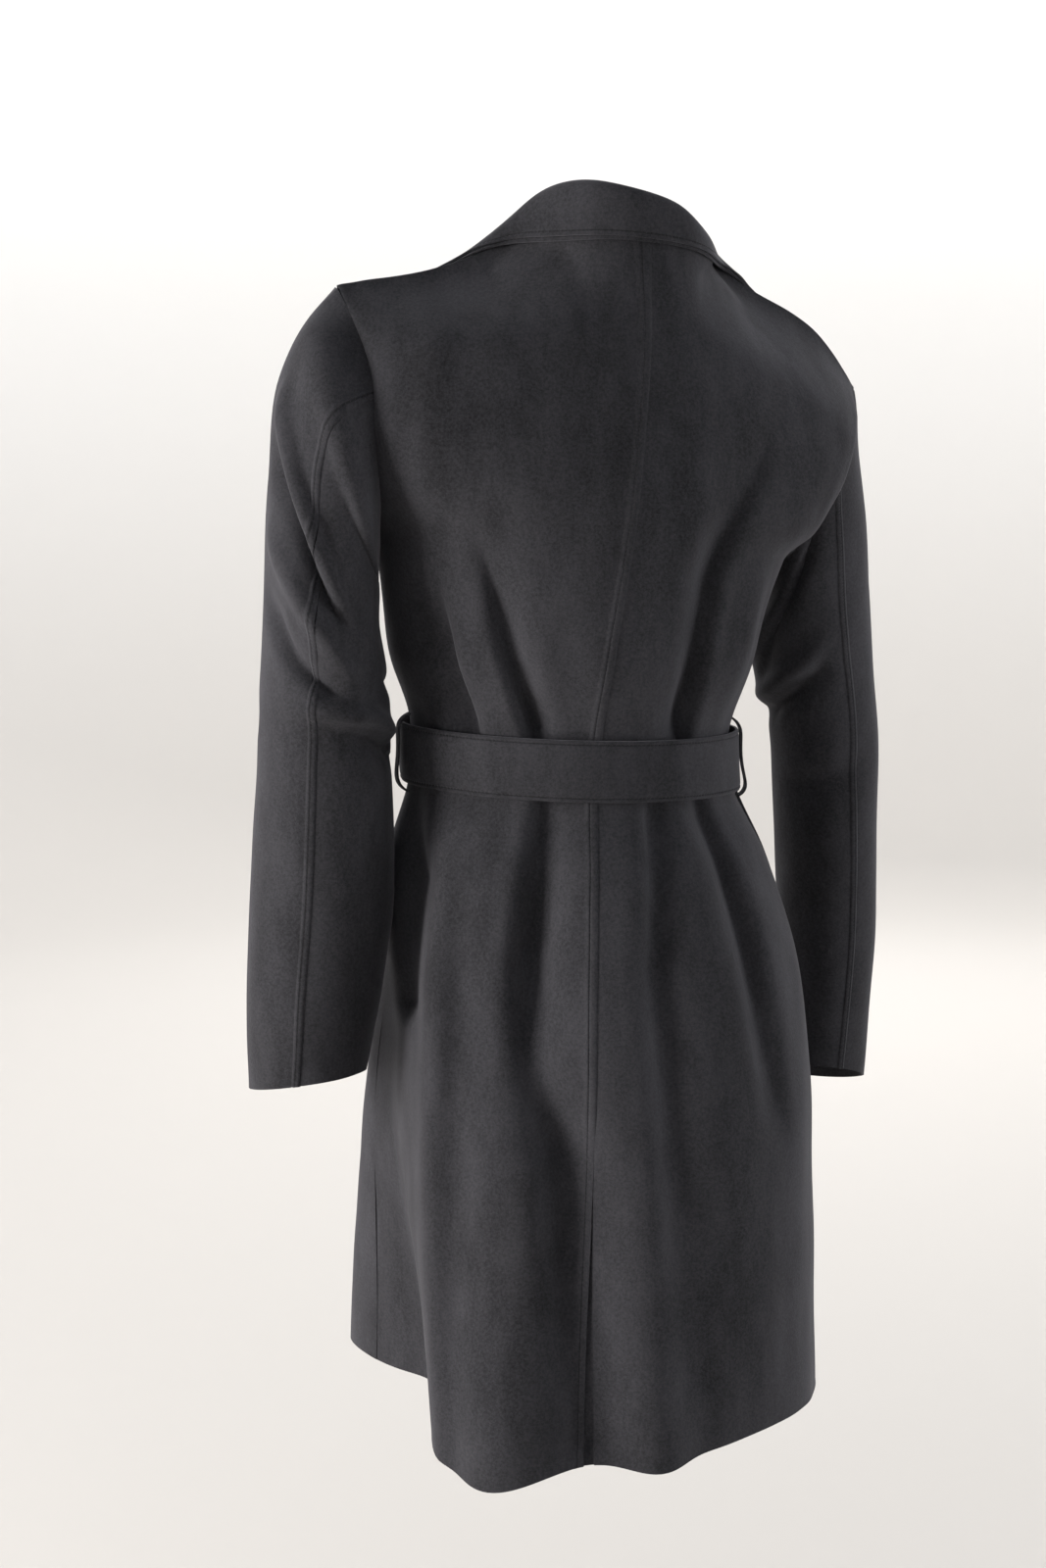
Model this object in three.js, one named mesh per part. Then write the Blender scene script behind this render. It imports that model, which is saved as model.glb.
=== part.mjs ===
// A belted wrap coat in soft suede-like cloth, worn with no wearer in it.
// Millimetres, +Z up. The front faces -Y, and the wearer's left is +X.
// The origin is the middle of the neck base.
import * as THREE from "three";

// Driving sizes
const COAT_LENGTH = 940; // nape to hem at the middle of the back
const CLOTH = 1.8; // thickness of one layer
const SEAM = 0.3; // room between two pieces at a seam
const LAYER = 0.4; // room between two layers that lie on each other
const UNDERARM = 240; // drop of the underarm point
const NECK_SIDE = { x: 78, y: 4, z: -3 }; // where neckline and shoulder seam meet
const NECK_FRONT = { y: -70, z: -75 }; // lowest point of the neck ring
const SHOULDER_SAG = 10; // the left shoulder seam sags by this much as worn
const SHOULDER_RISE = 20; // and the right one rises
const RISE_OUTWARDS = 2.4; // power that moves the rise towards the shoulder's end
const YOKE = 75; // drop over which the shoulder slope turns into the back or chest
const BELT_TOP = 384;
const BELT_WIDTH = 48;
const BELT_MIDDLE = BELT_TOP + BELT_WIDTH / 2;
const BELT_WALL = 3;
const BELT_ROOM = { back: 4.6, front: 9 }; // belt's distance from the waist
const BREAK_DROP = 360; // where the lapel's roll line ends
const WRAP = 92; // each front passes the middle by this much
const LAPEL_START = 22; // drop of the gorge seam on the roll line
const LAPEL_ROLL = 3.2; // radius of the lapel's rolled edge
const LAPEL_REST = 6.2; // height of the lapel over the front it lies on
const OVERLAP_LIFT = { lapel: 10.2, skirt: 5.2 }; // height of the upper front over the lower one
const VENT_DROP = 690; // top of the centre back vent
const VENT_COLUMNS = 4; // columns of the left back that the underlap lies under
const VENT_TUCK = 0.3; // degrees by which it reaches under the right back
const VENT_GAP = 8; // opening of the vent at the hem
const LOOP_WIDTH = 8;
const LOOP_WALL = 1.6;
const LOOP_REACH = 9; // how far a loop passes the belt above and below
const LOOP_BULGE = { left: 2.5, right: 2 }; // room between loop and belt
const LOOP_FOOT = 1.4; // height of a loop's ends over the cloth
const LOOP_ANGLE = 86;
const KNOT = { across: 27, high: 30, deep: 13, aside: 8 };
const KNOT_STAND = 24; // how far the belt's ends stand off the waist as they leave the knot
const END_LENGTH = { upper: 262, under: 236 };

// Colours of the cloth
const SUEDE = { color: 0x323035, roughness: 0.92, metalness: 0 };
const suede = () => new THREE.MeshStandardMaterial(SUEDE);

const radians = THREE.MathUtils.degToRad;
const smooth = (t) => THREE.MathUtils.smoothstep(t, 0, 1);
const mix = THREE.MathUtils.lerp;
const point = (x, y, z) => new THREE.Vector3(x, y, z);

// Turns rows of numbers with named columns into objects.
function table(names, rows) {
  return rows.map((row) => Object.fromEntries(names.map((name, i) => [name, row[i]])));
}

// Smooth curve through one column of a table, by the table's first column.
function along(rows, key, column, at) {
  const last = rows.length - 1;
  const x = THREE.MathUtils.clamp(at, rows[0][key], rows[last][key]);
  const slope = (i) => (rows[i + 1][column] - rows[i][column]) / (rows[i + 1][key] - rows[i][key]);
  const step = (i) => rows[i + 1][key] - rows[i][key];
  const tangent = (i) => {
    if (i === 0) return slope(0);
    if (i === last) return slope(last - 1);
    return (slope(i - 1) * step(i) + slope(i) * step(i - 1)) / (step(i) + step(i - 1));
  };
  let i = 0;
  while (i < last - 1 && x > rows[i + 1][key]) i += 1;
  const h = step(i);
  const t = (x - rows[i][key]) / h;
  const a = (2 * t - 3) * t * t + 1;
  const b = ((t - 2) * t + 1) * t * h;
  const c = (3 - 2 * t) * t * t;
  const d = (t - 1) * t * t * h;
  return a * rows[i][column] + b * tangent(i) + c * rows[i + 1][column] + d * tangent(i + 1);
}

// The cut before it is worn: one row per level, with its side edge and its depth at the middle.
const BACK = table(["drop", "edgeX", "edgeY", "edgeZ", "middleY", "middleZ"], [
  [0, 218, 0, -77, 68, 0],
  [35, 210, 22, -100, 78, -35],
  [80, 198, 46, -135, 92, -80],
  [140, 190, 54, -175, 106, -140],
  [195, 179, 38, -213, 116, -195],
  [240, 167, 0, -240, 118, -240],
  [285, 156, 0, -285, 117, -285],
  [327, 147, 0, -327, 115, -327],
  [384, 129, 0, -384, 100, -384],
  [409, 128, 0, -409, 99, -409],
  [434, 129, 0, -434, 100, -434],
  [487, 152, 0, -487, 124, -487],
  [550, 167, 0, -550, 140, -550],
  [674, 185, 0, -674, 158, -674],
  [783, 192, 0, -783, 166, -783],
  [940, 194, 0, -940, 172, -940],
]);
const FRONT = table(["drop", "edgeX", "edgeY", "edgeZ", "middleY", "middleZ"], [
  [0, 218, 0, -77, -70, -75],
  [35, 208, -18, -103, -82, -97],
  [80, 190, -38, -142, -98, -126],
  [140, 180, -44, -180, -113, -166],
  [195, 173, -30, -215, -121, -205],
  [240, 167, 0, -240, -123, -240],
  [285, 156, 0, -285, -120, -285],
  [327, 147, 0, -327, -115, -327],
  [384, 129, 0, -384, -98, -384],
  [409, 128, 0, -409, -97, -409],
  [434, 132, 0, -434, -98, -434],
  [487, 152, 0, -487, -118, -487],
  [550, 167, 0, -550, -132, -550],
  [674, 185, 0, -674, -150, -674],
  [783, 192, 0, -783, -166, -783],
  [940, 194, 0, -940, -178, -940],
]);

// Levels at which the panels have a row of points.
const LEVELS = [
  SEAM, 10, 22, 42, 72, 105, 140, 170, 205, UNDERARM, 262, 290, 325,
  BREAK_DROP, 384, 433, 455, 490, 540, 610, VENT_DROP, 780, 865, COAT_LENGTH,
];
const BACK_COLUMNS = 14;
const FRONT_COLUMNS = 11;
const LAPEL_COLUMNS = 4;

// The stance: how each level is shifted and turned.
const STANCE = table(["drop", "x", "turn"], [
  [-60, -5, 15.5],
  [0, 0, 15.5],
  [70, 7, 14.5],
  [170, 17, 11.5],
  [240, 22, 9],
  [327, 29, 6],
  [410, 31, 3.5],
  [487, 25, -2],
  [550, 20, -5],
  [674, 16, -7],
  [783, 16, -7.5],
  [980, 14, -8],
]);

// Folds: angle from the middle of the back, positive towards the wearer's left, at three drops,
// the depth there in millimetres, positive outwards, and the half-width in degrees.
const FOLDS = table(
  ["drop0", "angle0", "depth0", "drop1", "angle1", "depth1", "drop2", "angle2", "depth2", "wide"],
  [
    [215, 43, 0, 315, 33, -13, 388, 23, -18, 6],
    [270, 15, 0, 330, 13, -5, 386, 10, -5, 7],
    [70, -36, 0, 260, -28, -13, 388, -35, -18, 6],
    [200, -48, 0, 300, -50, 5, 388, -52, 2, 7],
    [250, 58, 0, 325, 53, -13, 388, 46, -15, 7],
    [436, 78, -3, 500, 62, -13, 600, 62, -12, 9],
    [500, 84, 0, 640, 76, -20, 945, 67, -54, 22],
    [450, 50, 0, 600, 42, 12, 945, 36, 14, 6],
    [430, 17, -12, 540, 20, -20, 900, 4, -9, 7.5],
    [600, 25, 0, 760, 22, 12, 945, 20, 34, 13],
    [430, -20, -10, 560, -16, -12, 880, -22, -3, 6],
    [640, -12, 0, 800, -13, 8, 945, -14, 20, 8],
    [430, -43, -11, 540, -50, -14, 760, -56, 0, 6],
    [600, -80, 0, 800, -80, -5, 945, -80, -4, 26],
    [240, 118, 0, 330, 122, -7, 386, 126, -8, 8],
    [240, -116, 0, 330, -120, -8, 386, -124, -8, 8],
    [434, 120, -6, 560, 117, -11, 800, 115, 0, 8],
    [434, 140, -4, 620, 141, -9, 945, 140, -14, 10],
    [434, -114, -6, 560, -110, -11, 780, -108, 0, 8],
    [434, -134, -4, 620, -132, -10, 945, -130, -16, 10],
    [560, 104, 0, 760, 108, 10, 945, 110, 22, 13],
  ],
);
const FOLD_FADE = 12; // drop over which a fold fades past its ends
const BELT_PRESS = 0.8; // how much of each fold the belt presses flat
const BELT_PRESS_REACH = 30; // half the drop over which it does

// Hem dips, in millimetres, at an angle, over a half-width in degrees
const HEM_DIPS = table(["angle", "dip", "wide"], [
  [24, 17, 14],
  [-14, 4, 9],
  [-50, -4, 18],
  [-82, 4, 14],
  [62, -9, 20],
  [96, -11, 26],
]);

const HEM_DIP_FROM = 600; // drop from which the hem's dips pull the cloth
const BOW_FROM = 62; // where the shoulder seam's sag and rise begin
const RIGHT_REACH = 0.05; // share by which the right shoulder reaches further out
const SHOULDER_TIP = { near: 0.09, far: 0.08 }; // rise of the left shoulder for each millimetre across
const SHOULDER_TIP_FAR = 200; // where the far value is reached
const WAIST_TIP = 0.045; // rise of the waist's left for each millimetre across
const WAIST_TIP_REACH = 90; // half the drop over which it rises
const NECK_SOFT = 13; // degrees over which the corner at the neck's side softens
const NECK_SOFT_DROP = 22; // drop at which it is fully soft
const HALF_BACK = 218;

const SOFT_SHARES = [-1, -0.5, 0, 0.5, 1];

const bell = (t) => Math.exp(-t * t);

// Shortest difference of two angles in degrees
function turned(a, b) {
  return THREE.MathUtils.euclideanModulo(a - b + 180, 360) - 180;
}

// Height of all folds at one place
function foldHeight(angle, drop) {
  let height = 0;
  for (const f of FOLDS) {
    const lower = drop > f.drop1;
    const t = lower ? (drop - f.drop1) / (f.drop2 - f.drop1) : (drop - f.drop0) / (f.drop1 - f.drop0);
    const past = lower ? Math.max(0, drop - f.drop2) : Math.max(0, f.drop0 - drop);
    const middle = lower ? mix(f.angle1, f.angle2, t) : mix(f.angle0, f.angle1, t);
    const depth = lower ? mix(f.depth1, f.depth2, smooth(t)) : mix(f.depth0, f.depth1, smooth(t));
    height += depth * bell(turned(angle, middle) / f.wide) * bell(past / FOLD_FADE);
  }
  const pressed = bell((drop - BELT_MIDDLE) / BELT_PRESS_REACH);
  return height * (1 - BELT_PRESS * pressed);
}

// Top row of a panel: half the neckline, then the shoulder seam.
function topEdge(t, front) {
  const sine = Math.sin(t);
  const tip = BACK[0];
  const neckEnd = Math.asin(NECK_SIDE.x / tip.edgeX);
  if (t < neckEnd) {
    const turn = ((t / neckEnd) * Math.PI) / 2;
    const low = front ? NECK_FRONT : { y: BACK[0].middleY, z: 0 };
    return point(
      NECK_SIDE.x * Math.sin(turn),
      mix(NECK_SIDE.y, low.y, Math.cos(turn)),
      mix(NECK_SIDE.z, low.z, Math.cos(turn)),
    );
  }
  const share = (tip.edgeX * sine - NECK_SIDE.x) / (tip.edgeX - NECK_SIDE.x);
  return point(
    tip.edgeX * sine,
    mix(NECK_SIDE.y, 0, share),
    mix(NECK_SIDE.z, tip.edgeZ, share),
  );
}

// The top row averaged over a few degrees, so that its corner softens with the drop
function softTopEdge(t, front, drop) {
  const neckEnd = Math.asin(NECK_SIDE.x / BACK[0].edgeX);
  const near = bell((t - neckEnd) / radians(NECK_SOFT));
  const wide = radians(NECK_SOFT) * smooth(drop / NECK_SOFT_DROP) * near;
  const sum = point(0, 0, 0);
  for (const share of SOFT_SHARES) sum.add(topEdge(t + share * wide, front));
  return sum.divideScalar(SOFT_SHARES.length);
}

// One point of a level before folds: a quarter oval from the middle to the side edge.
function quarter(rows, drop, t) {
  const level = (column) => along(rows, "drop", column, drop);
  const sine = Math.sin(t);
  if (drop >= UNDERARM) {
    return point(along(BACK, "drop", "edgeX", drop) * sine, level("middleY") * Math.cos(t), -drop);
  }
  return point(
    level("edgeX") * sine,
    mix(level("edgeY"), level("middleY"), Math.cos(t)),
    mix(level("middleZ"), level("edgeZ"), Math.abs(sine) ** 1.5),
  );
}

// The coat's surface before it is worn. Angle 0 is the middle of the back, 90 the wearer's left side
// seam and 180 the middle of the front. Negative angles go round the wearer's right.
function cut(angle, drop, front) {
  const side = angle < 0 ? -1 : 1;
  const t = radians(front ? 180 - Math.abs(angle) : Math.abs(angle));
  const rows = front ? FRONT : BACK;
  const p = quarter(rows, drop, t);
  const shoulder = 1 - smooth(drop / YOKE);
  if (shoulder > 0) p.addScaledVector(softTopEdge(t, front, drop).sub(quarter(rows, 0, t)), shoulder);
  const dips = HEM_DIPS.reduce((sum, d) => sum + d.dip * bell(turned(angle, d.angle) / d.wide), 0);
  p.z -= dips * smooth((drop - HEM_DIP_FROM) / (COAT_LENGTH - HEM_DIP_FROM));
  const wide = along(rows, "drop", "edgeX", drop);
  const deep = Math.abs(along(rows, "drop", "middleY", drop));
  const out = point(Math.sin(t) * deep, (front ? -1 : 1) * Math.cos(t) * wide, 0).normalize();
  p.addScaledVector(out, foldHeight(angle, drop));
  p.x *= side;
  return p;
}

// Drops between which the shoulders' bow, tip and reach fade out
const SHOULDER_FADE = { bow: [40, 140], tip: [100, 350], reach: [100, 200] };

// 1 above the first drop, 0 below the second
function fading(drop, [from, to]) {
  return 1 - smooth((drop - from) / (to - from));
}

// The worn stance: the shoulders turn and tip, and each level shifts.
function worn(p) {
  const drop = -p.z;
  const turn = radians(along(STANCE, "drop", "turn", drop));
  const seamShare = THREE.MathUtils.clamp((Math.abs(p.x) - BOW_FROM) / (HALF_BACK - BOW_FROM), 0, 1);
  const left = p.x > 0;
  const bow = left ? SHOULDER_SAG : -SHOULDER_RISE;
  const bowShare = left ? seamShare : seamShare ** RISE_OUTWARDS;
  const sag = bow * Math.sin(Math.PI * bowShare) * fading(drop, SHOULDER_FADE.bow);
  const waistTip = WAIST_TIP * bell((drop - BELT_MIDDLE) / WAIST_TIP_REACH);
  const tipShare = SHOULDER_TIP.near + SHOULDER_TIP.far * smooth(Math.abs(p.x) / SHOULDER_TIP_FAR);
  const tip = tipShare * fading(drop, SHOULDER_FADE.tip);
  const reach = p.x < 0 ? 1 + RIGHT_REACH * fading(drop, SHOULDER_FADE.reach) : 1;
  const x = p.x * reach;
  return point(
    along(STANCE, "drop", "x", drop) + x * Math.cos(turn) - p.y * Math.sin(turn),
    x * Math.sin(turn) + p.y * Math.cos(turn),
    p.z + p.x * (tip + waistTip) - sag,
  );
}

// Direction out of a surface of two parameters, from small steps of both.
function normalOf(surface, a, b, stepA, stepB) {
  const acrossA = surface(a + stepA, b).sub(surface(a - stepA, b));
  const acrossB = surface(a, b + stepB).sub(surface(a, b - stepB));
  return acrossA.cross(acrossB).normalize();
}

// A point of the worn coat, lifted off its surface.
function coat(angle, drop, front, lift = 0) {
  const surface = (a, d) => worn(cut(a, d, front));
  const p = surface(angle, drop);
  return lift === 0 ? p : p.addScaledVector(normalOf(surface, angle, drop, 0.6, 2), lift);
}

// Angle and drop of the front at a given place across and height, found step by step.
function placeOnFront(x, z) {
  let t = Math.asin(THREE.MathUtils.clamp(x / 200, -0.95, 0.95));
  let drop = Math.max(0, -z);
  for (let i = 0; i < 60; i += 1) {
    const p = cut(180 - THREE.MathUtils.radToDeg(t), drop, true);
    const wide = along(FRONT, "drop", "edgeX", drop);
    t += (0.6 * (x - p.x)) / (wide * Math.max(0.3, Math.cos(t)));
    drop = Math.max(0, drop + 0.5 * (p.z - z));
  }
  return { angle: 180 - THREE.MathUtils.radToDeg(t), drop };
}

// A closed wall between two grids of points. A ring joins its last column to its first.
function wall(name, inner, outer, ring = false) {
  const rows = inner.length;
  const columns = inner[0].length;
  const flat = [...inner.flat(), ...outer.flat()];
  const at = (layer, row, column) => layer * rows * columns + row * columns + (column % columns);
  const faces = [];
  const quad = (a, b, c, d) => faces.push([a, b, c], [a, c, d]);
  const spans = ring ? columns : columns - 1;
  for (let r = 0; r < rows - 1; r += 1) {
    for (let c = 0; c < spans; c += 1) {
      quad(at(1, r, c), at(1, r, c + 1), at(1, r + 1, c + 1), at(1, r + 1, c));
      quad(at(0, r, c), at(0, r + 1, c), at(0, r + 1, c + 1), at(0, r, c + 1));
    }
  }
  for (let c = 0; c < spans; c += 1) {
    quad(at(0, 0, c), at(0, 0, c + 1), at(1, 0, c + 1), at(1, 0, c));
    quad(at(0, rows - 1, c), at(1, rows - 1, c), at(1, rows - 1, c + 1), at(0, rows - 1, c + 1));
  }
  for (let r = 0; r < rows - 1 && !ring; r += 1) {
    const last = columns - 1;
    quad(at(0, r, 0), at(1, r, 0), at(1, r + 1, 0), at(0, r + 1, 0));
    quad(at(0, r, last), at(0, r + 1, last), at(1, r + 1, last), at(1, r, last));
  }
  return closedMesh(name, flat, faces);
}

// A mesh from points and triangles, turned so that its faces point out.
function closedMesh(name, points, faces) {
  const corners = ([a, b, c]) => points[a].dot(points[b].clone().cross(points[c]));
  const volume = faces.reduce((sum, face) => sum + corners(face), 0);
  const turnedFaces = volume < 0 ? faces.map(([a, b, c]) => [a, c, b]) : faces;
  const geometry = new THREE.BufferGeometry();
  geometry.setAttribute("position", new THREE.Float32BufferAttribute(points.flatMap((p) => p.toArray()), 3));
  geometry.setIndex(turnedFaces.flat());
  geometry.computeVertexNormals();
  const mesh = new THREE.Mesh(geometry, suede());
  mesh.name = name;
  return mesh;
}

// A cloth wall on a surface: its near face lies at one height over it, its far face at another.
function cloth(name, rows, columns, surface, near, far, steps) {
  const place = (c, r, height) => {
    const out = normalOf(surface, c, r, steps.column, steps.row);
    return surface(c, r).addScaledVector(out, height);
  };
  const grid = (height) => rows.map((r) => columns(r).map((c) => place(c, r, height)));
  return wall(name, grid(near), grid(far));
}

// Even steps from one number to another.
function steps(from, to, count) {
  return Array.from({ length: count + 1 }, (_, i) => mix(from, to, i / count));
}

// Angle that a seam allowance of half a seam's room takes at the side seams and the middle of the back.
const SEAM_ANGLE = 0.05;
const STEP = { column: 0.6, row: 2 };

// Back panels: the left one laps over the vent's underlap, so its edge opens a little towards the hem.
function ventOpening(drop) {
  const share = smooth((drop - VENT_DROP) / (COAT_LENGTH - VENT_DROP));
  return THREE.MathUtils.radToDeg((VENT_GAP * share) / BACK.at(-1).edgeX);
}

function backAngles(drop, side) {
  const middle = side > 0 ? SEAM_ANGLE + ventOpening(drop) : -SEAM_ANGLE;
  return steps(middle, side * (90 - SEAM_ANGLE), BACK_COLUMNS);
}

function backPanel(name, side) {
  const surface = (angle, drop) => worn(cut(angle, drop, false));
  return cloth(name, LEVELS, (drop) => backAngles(drop, side), surface, 0, CLOTH, STEP);
}

function ventUnderlap() {
  const surface = (angle, drop) => worn(cut(angle, drop, false));
  const rows = LEVELS.filter((drop) => drop >= VENT_DROP);
  const columns = (drop) => [-VENT_TUCK, ...backAngles(drop, 1).slice(0, VENT_COLUMNS)];
  return cloth("vent_underlap", rows, columns, surface, -LAYER - CLOTH, -LAYER, STEP);
}

// The roll line in front view, by depth under the nape.
const ROLL = table(["depth", "x"], [
  [0, 78],
  [60, 66],
  [140, 40],
  [220, 3],
  [290, -42],
  [338, -80],
  [BREAK_DROP, -WRAP],
  [384, -WRAP - 2],
  [COAT_LENGTH, -WRAP - 12],
]);

// Angle at which a front panel ends, found by halving.
function frontEdge(drop) {
  let near = 90;
  let far = 180 + 60;
  for (let i = 0; i < 40; i += 1) {
    const middle = (near + far) / 2;
    const p = cut(middle, drop, true);
    if (p.x > along(ROLL, "depth", "x", -p.z)) near = middle;
    else far = middle;
  }
  return near;
}
const FRONT_EDGES = new Map(LEVELS.map((drop) => [drop, frontEdge(drop)]));

// Height of the upper front over the lower one, nothing where they don't cross.
const OVERLAP_FROM = [120, 180]; // depths between which it begins
const OVERLAP_RISE = { before: 62, over: 50 }; // it rises this far before the lower front's edge
const BREAK_FADE = 24; // depth over which it falls from the lapel's height to the skirt's

function overlapLift(x, z) {
  const depth = -z;
  const lowerEdge = along(ROLL, "depth", "x", depth) - 2 * LAPEL_ROLL;
  const below = smooth((depth - BREAK_DROP) / BREAK_FADE);
  const height = mix(OVERLAP_LIFT.lapel, OVERLAP_LIFT.skirt, below);
  const near = smooth((x - lowerEdge + OVERLAP_RISE.before) / OVERLAP_RISE.over);
  return height * near * (1 - fading(depth, OVERLAP_FROM));
}

// Surface of a front panel. The wearer's right front lies over the left one.
function frontSurface(side) {
  return (angle, drop) => {
    const p = cut(side * angle, drop, true);
    if (side > 0) return worn(p);
    return coat(-angle, drop, true, overlapLift(p.x, p.z));
  };
}

function frontPanel(name, side) {
  const surface = frontSurface(side);
  const columns = (drop) => steps(90 + SEAM_ANGLE, FRONT_EDGES.get(drop), FRONT_COLUMNS);
  return cloth(name, LEVELS, columns, surface, 0, side * CLOTH, STEP);
}

// Lapel: the front's edge rolled over and laid back on the front, by share of the roll line from
// gorge to break. Its top edge falls away from the collar.
const NOTCH = { from: 0.5, dip: 26, fade: 0.14 };
const LAPEL_SETTLE = 30; // way from the roll over which it comes down to its rest
const LAPEL = table(["share", "width", "rise"], [
  [0, 96, -3],
  [0.1, 102, -3],
  [0.3, 103, -8],
  [0.55, 82, -20],
  [0.8, 46, -26],
  [1, 10, -28],
]);

function lapelPanel(name, side) {
  const surface = frontSurface(side);
  const rows = LEVELS.filter((drop) => drop >= LAPEL_START && drop <= BREAK_DROP);
  const roll = (drop) => cut(FRONT_EDGES.get(drop), drop, true);
  const top = roll(rows[0]).z;
  const bottom = roll(rows.at(-1)).z;
  const grid = (sunk) =>
    rows.map((drop) => {
      const start = roll(drop);
      const share = (start.z - top) / (bottom - top);
      const width = along(LAPEL, "share", "width", share);
      const rise = radians(along(LAPEL, "share", "rise", share));
      const place = (distance, height) => {
        const outer = smooth((distance / width - NOTCH.from) / (1 - NOTCH.from));
        const notch = NOTCH.dip * outer * bell(share / NOTCH.fade);
        const x = start.x + distance * Math.cos(rise);
        const at = placeOnFront(x, start.z + distance * Math.sin(rise) - notch);
        const p = surface(at.angle, at.drop);
        const out = normalOf(surface, at.angle, at.drop, STEP.column, STEP.row).multiplyScalar(side);
        return p.addScaledVector(out, height);
      };
      const rolled = steps(0, Math.PI, 3).map((turn) => {
        const radius = LAPEL_ROLL - sunk;
        return place(-SEAM - radius * Math.sin(turn), LAPEL_ROLL - radius * Math.cos(turn));
      });
      const flat = steps(0.12, 1, LAPEL_COLUMNS).map((across) => {
        const distance = across * width;
        return place(distance, mix(2 * LAPEL_ROLL, LAPEL_REST, smooth(distance / LAPEL_SETTLE)) - sunk);
      });
      return [...rolled, ...flat];
    });
  return wall(name, grid(0), grid(CLOTH));
}

// Sleeves: one row per ring, with its outer and inner edge, its half depth, and how much higher its
// back lies.
const RING = ["along", "outX", "outZ", "inX", "inZ", "y", "deep", "rise"];
const SLEEVE_LEFT = table(RING, [
  [24, 241, -67, 191, -256, 50, 61, 6],
  [60, 262, -109, 191, -268, 46, 60, 6],
  [115, 271, -185, 190, -296, 41, 61, 6],
  [195, 277, -285, 184, -342, 35, 59, 4],
  [290, 282, -385, 181, -402, 30, 57, 4],
  [405, 290, -503, 180, -508, 27, 55, 6],
  [510, 295, -596, 190, -594, 24, 52, 8],
  [606, 294, -673, 203, -660, 20, 50, 9],
]);
const SLEEVE_RIGHT = table(RING, [
  [24, -214, -134, -147, -266, -60, 58, 3],
  [60, -219, -162, -146, -290, -69, 58, 7],
  [115, -231, -226, -140, -320, -80, 60, 14],
  [195, -240, -307, -148, -354, -93, 58, 14],
  [290, -252, -397, -165, -412, -106, 55, 12],
  [405, -260, -512, -175, -507, -124, 54, 16],
  [510, -266, -607, -184, -594, -143, 51, 18],
  [630, -264, -737, -179, -723, -161, 50, 18],
]);
const SLEEVE_ROWS = [0, 12, 32, 60, 100, 150, 210, 290, 370, 480];
const ARMHOLE_ROOM = 1.1; // room between armhole and sleeve head
const TIP_ROOM = 2.2; // a little more height at the shoulder tip
// Where the right sleeve's head lies under the back: degrees round it, and room in millimetres
const TUCK = { from: 40, to: 140, fade: 30, room: 4.5, before: 22, after: 16 };
const TIP_SPREAD = 35; // degrees round the shoulder tip over which the height fades
const SEAM_TURN = 0.25; // half a seam's room round the sleeve, in degrees
const SLEEVE_SEAM_DROPS = { back: 105, front: 140 }; // where the sleeve's seams meet the armhole

// Drops at which the armhole has a point, on the back and on the front.
const BACK_DROPS = LEVELS.filter((drop) => drop <= UNDERARM);
const FRONT_DROPS = BACK_DROPS.filter((drop) => drop > SEAM && drop < UNDERARM);

// Angle round the sleeve of one drop of the armhole: 0 on the shoulder, 90 at the back, 180 under the arm.
function sleeveAngle(drop, front) {
  const angle = (180 * (drop - SEAM)) / (UNDERARM - SEAM);
  return front ? -angle : angle;
}

function armhole(side, angle) {
  const front = angle < 0;
  const drop = mix(SEAM, UNDERARM, Math.abs(angle) / 180);
  return worn(cut(side * 90, drop, front));
}

// Direction out of the body at the armhole
function armholeOut(side, angle) {
  const front = angle < 0;
  const drop = mix(SEAM, UNDERARM, Math.abs(angle) / 180);
  const surface = (a, d) => worn(cut(a, d, front));
  return normalOf(surface, side * (front ? 96 : 84), drop, STEP.column, STEP.row);
}

// The sleeve head lies over the body's edge, but at the right back, where the arm reaches forward,
// it lies under it.
function sleeveHeadHeight(side, angle) {
  const over = CLOTH + LAYER + TIP_ROOM * bell(angle / TIP_SPREAD);
  if (side > 0) return over;
  const entered = smooth((angle - TUCK.from) / TUCK.fade);
  const left = smooth((angle - TUCK.to) / TUCK.fade);
  return mix(over, -over - LAYER, entered * (1 - left));
}

// Room between armhole and sleeve head, wider where the head passes from over to under
function armholeRoom(side, angle) {
  const room = ARMHOLE_ROOM + TIP_ROOM * bell(angle / TIP_SPREAD);
  if (side > 0) return room;
  const half = TUCK.fade / 2;
  const entering = bell((angle - TUCK.from - half) / TUCK.before);
  const leaving = bell((angle - TUCK.to - half) / TUCK.after);
  return room + TUCK.room * (entering + leaving);
}

// Point of a sleeve: its armhole point, then one oval ring after another, joined smoothly down the arm.
function sleeveSurface(side, rings) {
  return (angle, down) => {
    const turn = radians(angle);
    const path = rings.map((r) => ({
      along: r.along,
      x: (r.outX + r.inX) / 2 + ((r.outX - r.inX) / 2) * Math.cos(turn),
      y: r.y + r.deep * Math.sin(turn),
      z: (r.outZ + r.inZ) / 2 + ((r.outZ - r.inZ) / 2) * Math.cos(turn) + r.rise * Math.sin(turn),
    }));
    const wrapped = THREE.MathUtils.euclideanModulo(angle + 180, 360) - 180;
    const start = armhole(side, wrapped);
    const first = point(path[0].x, path[0].y, path[0].z);
    start.addScaledVector(first.sub(start).normalize(), armholeRoom(side, wrapped));
    start.addScaledVector(armholeOut(side, wrapped), sleeveHeadHeight(side, wrapped));
    const whole = [{ along: 0, x: start.x, y: start.y, z: start.z }, ...path];
    const at = (column) => along(whole, "along", column, down);
    return point(at("x"), at("y"), at("z"));
  };
}

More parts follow.
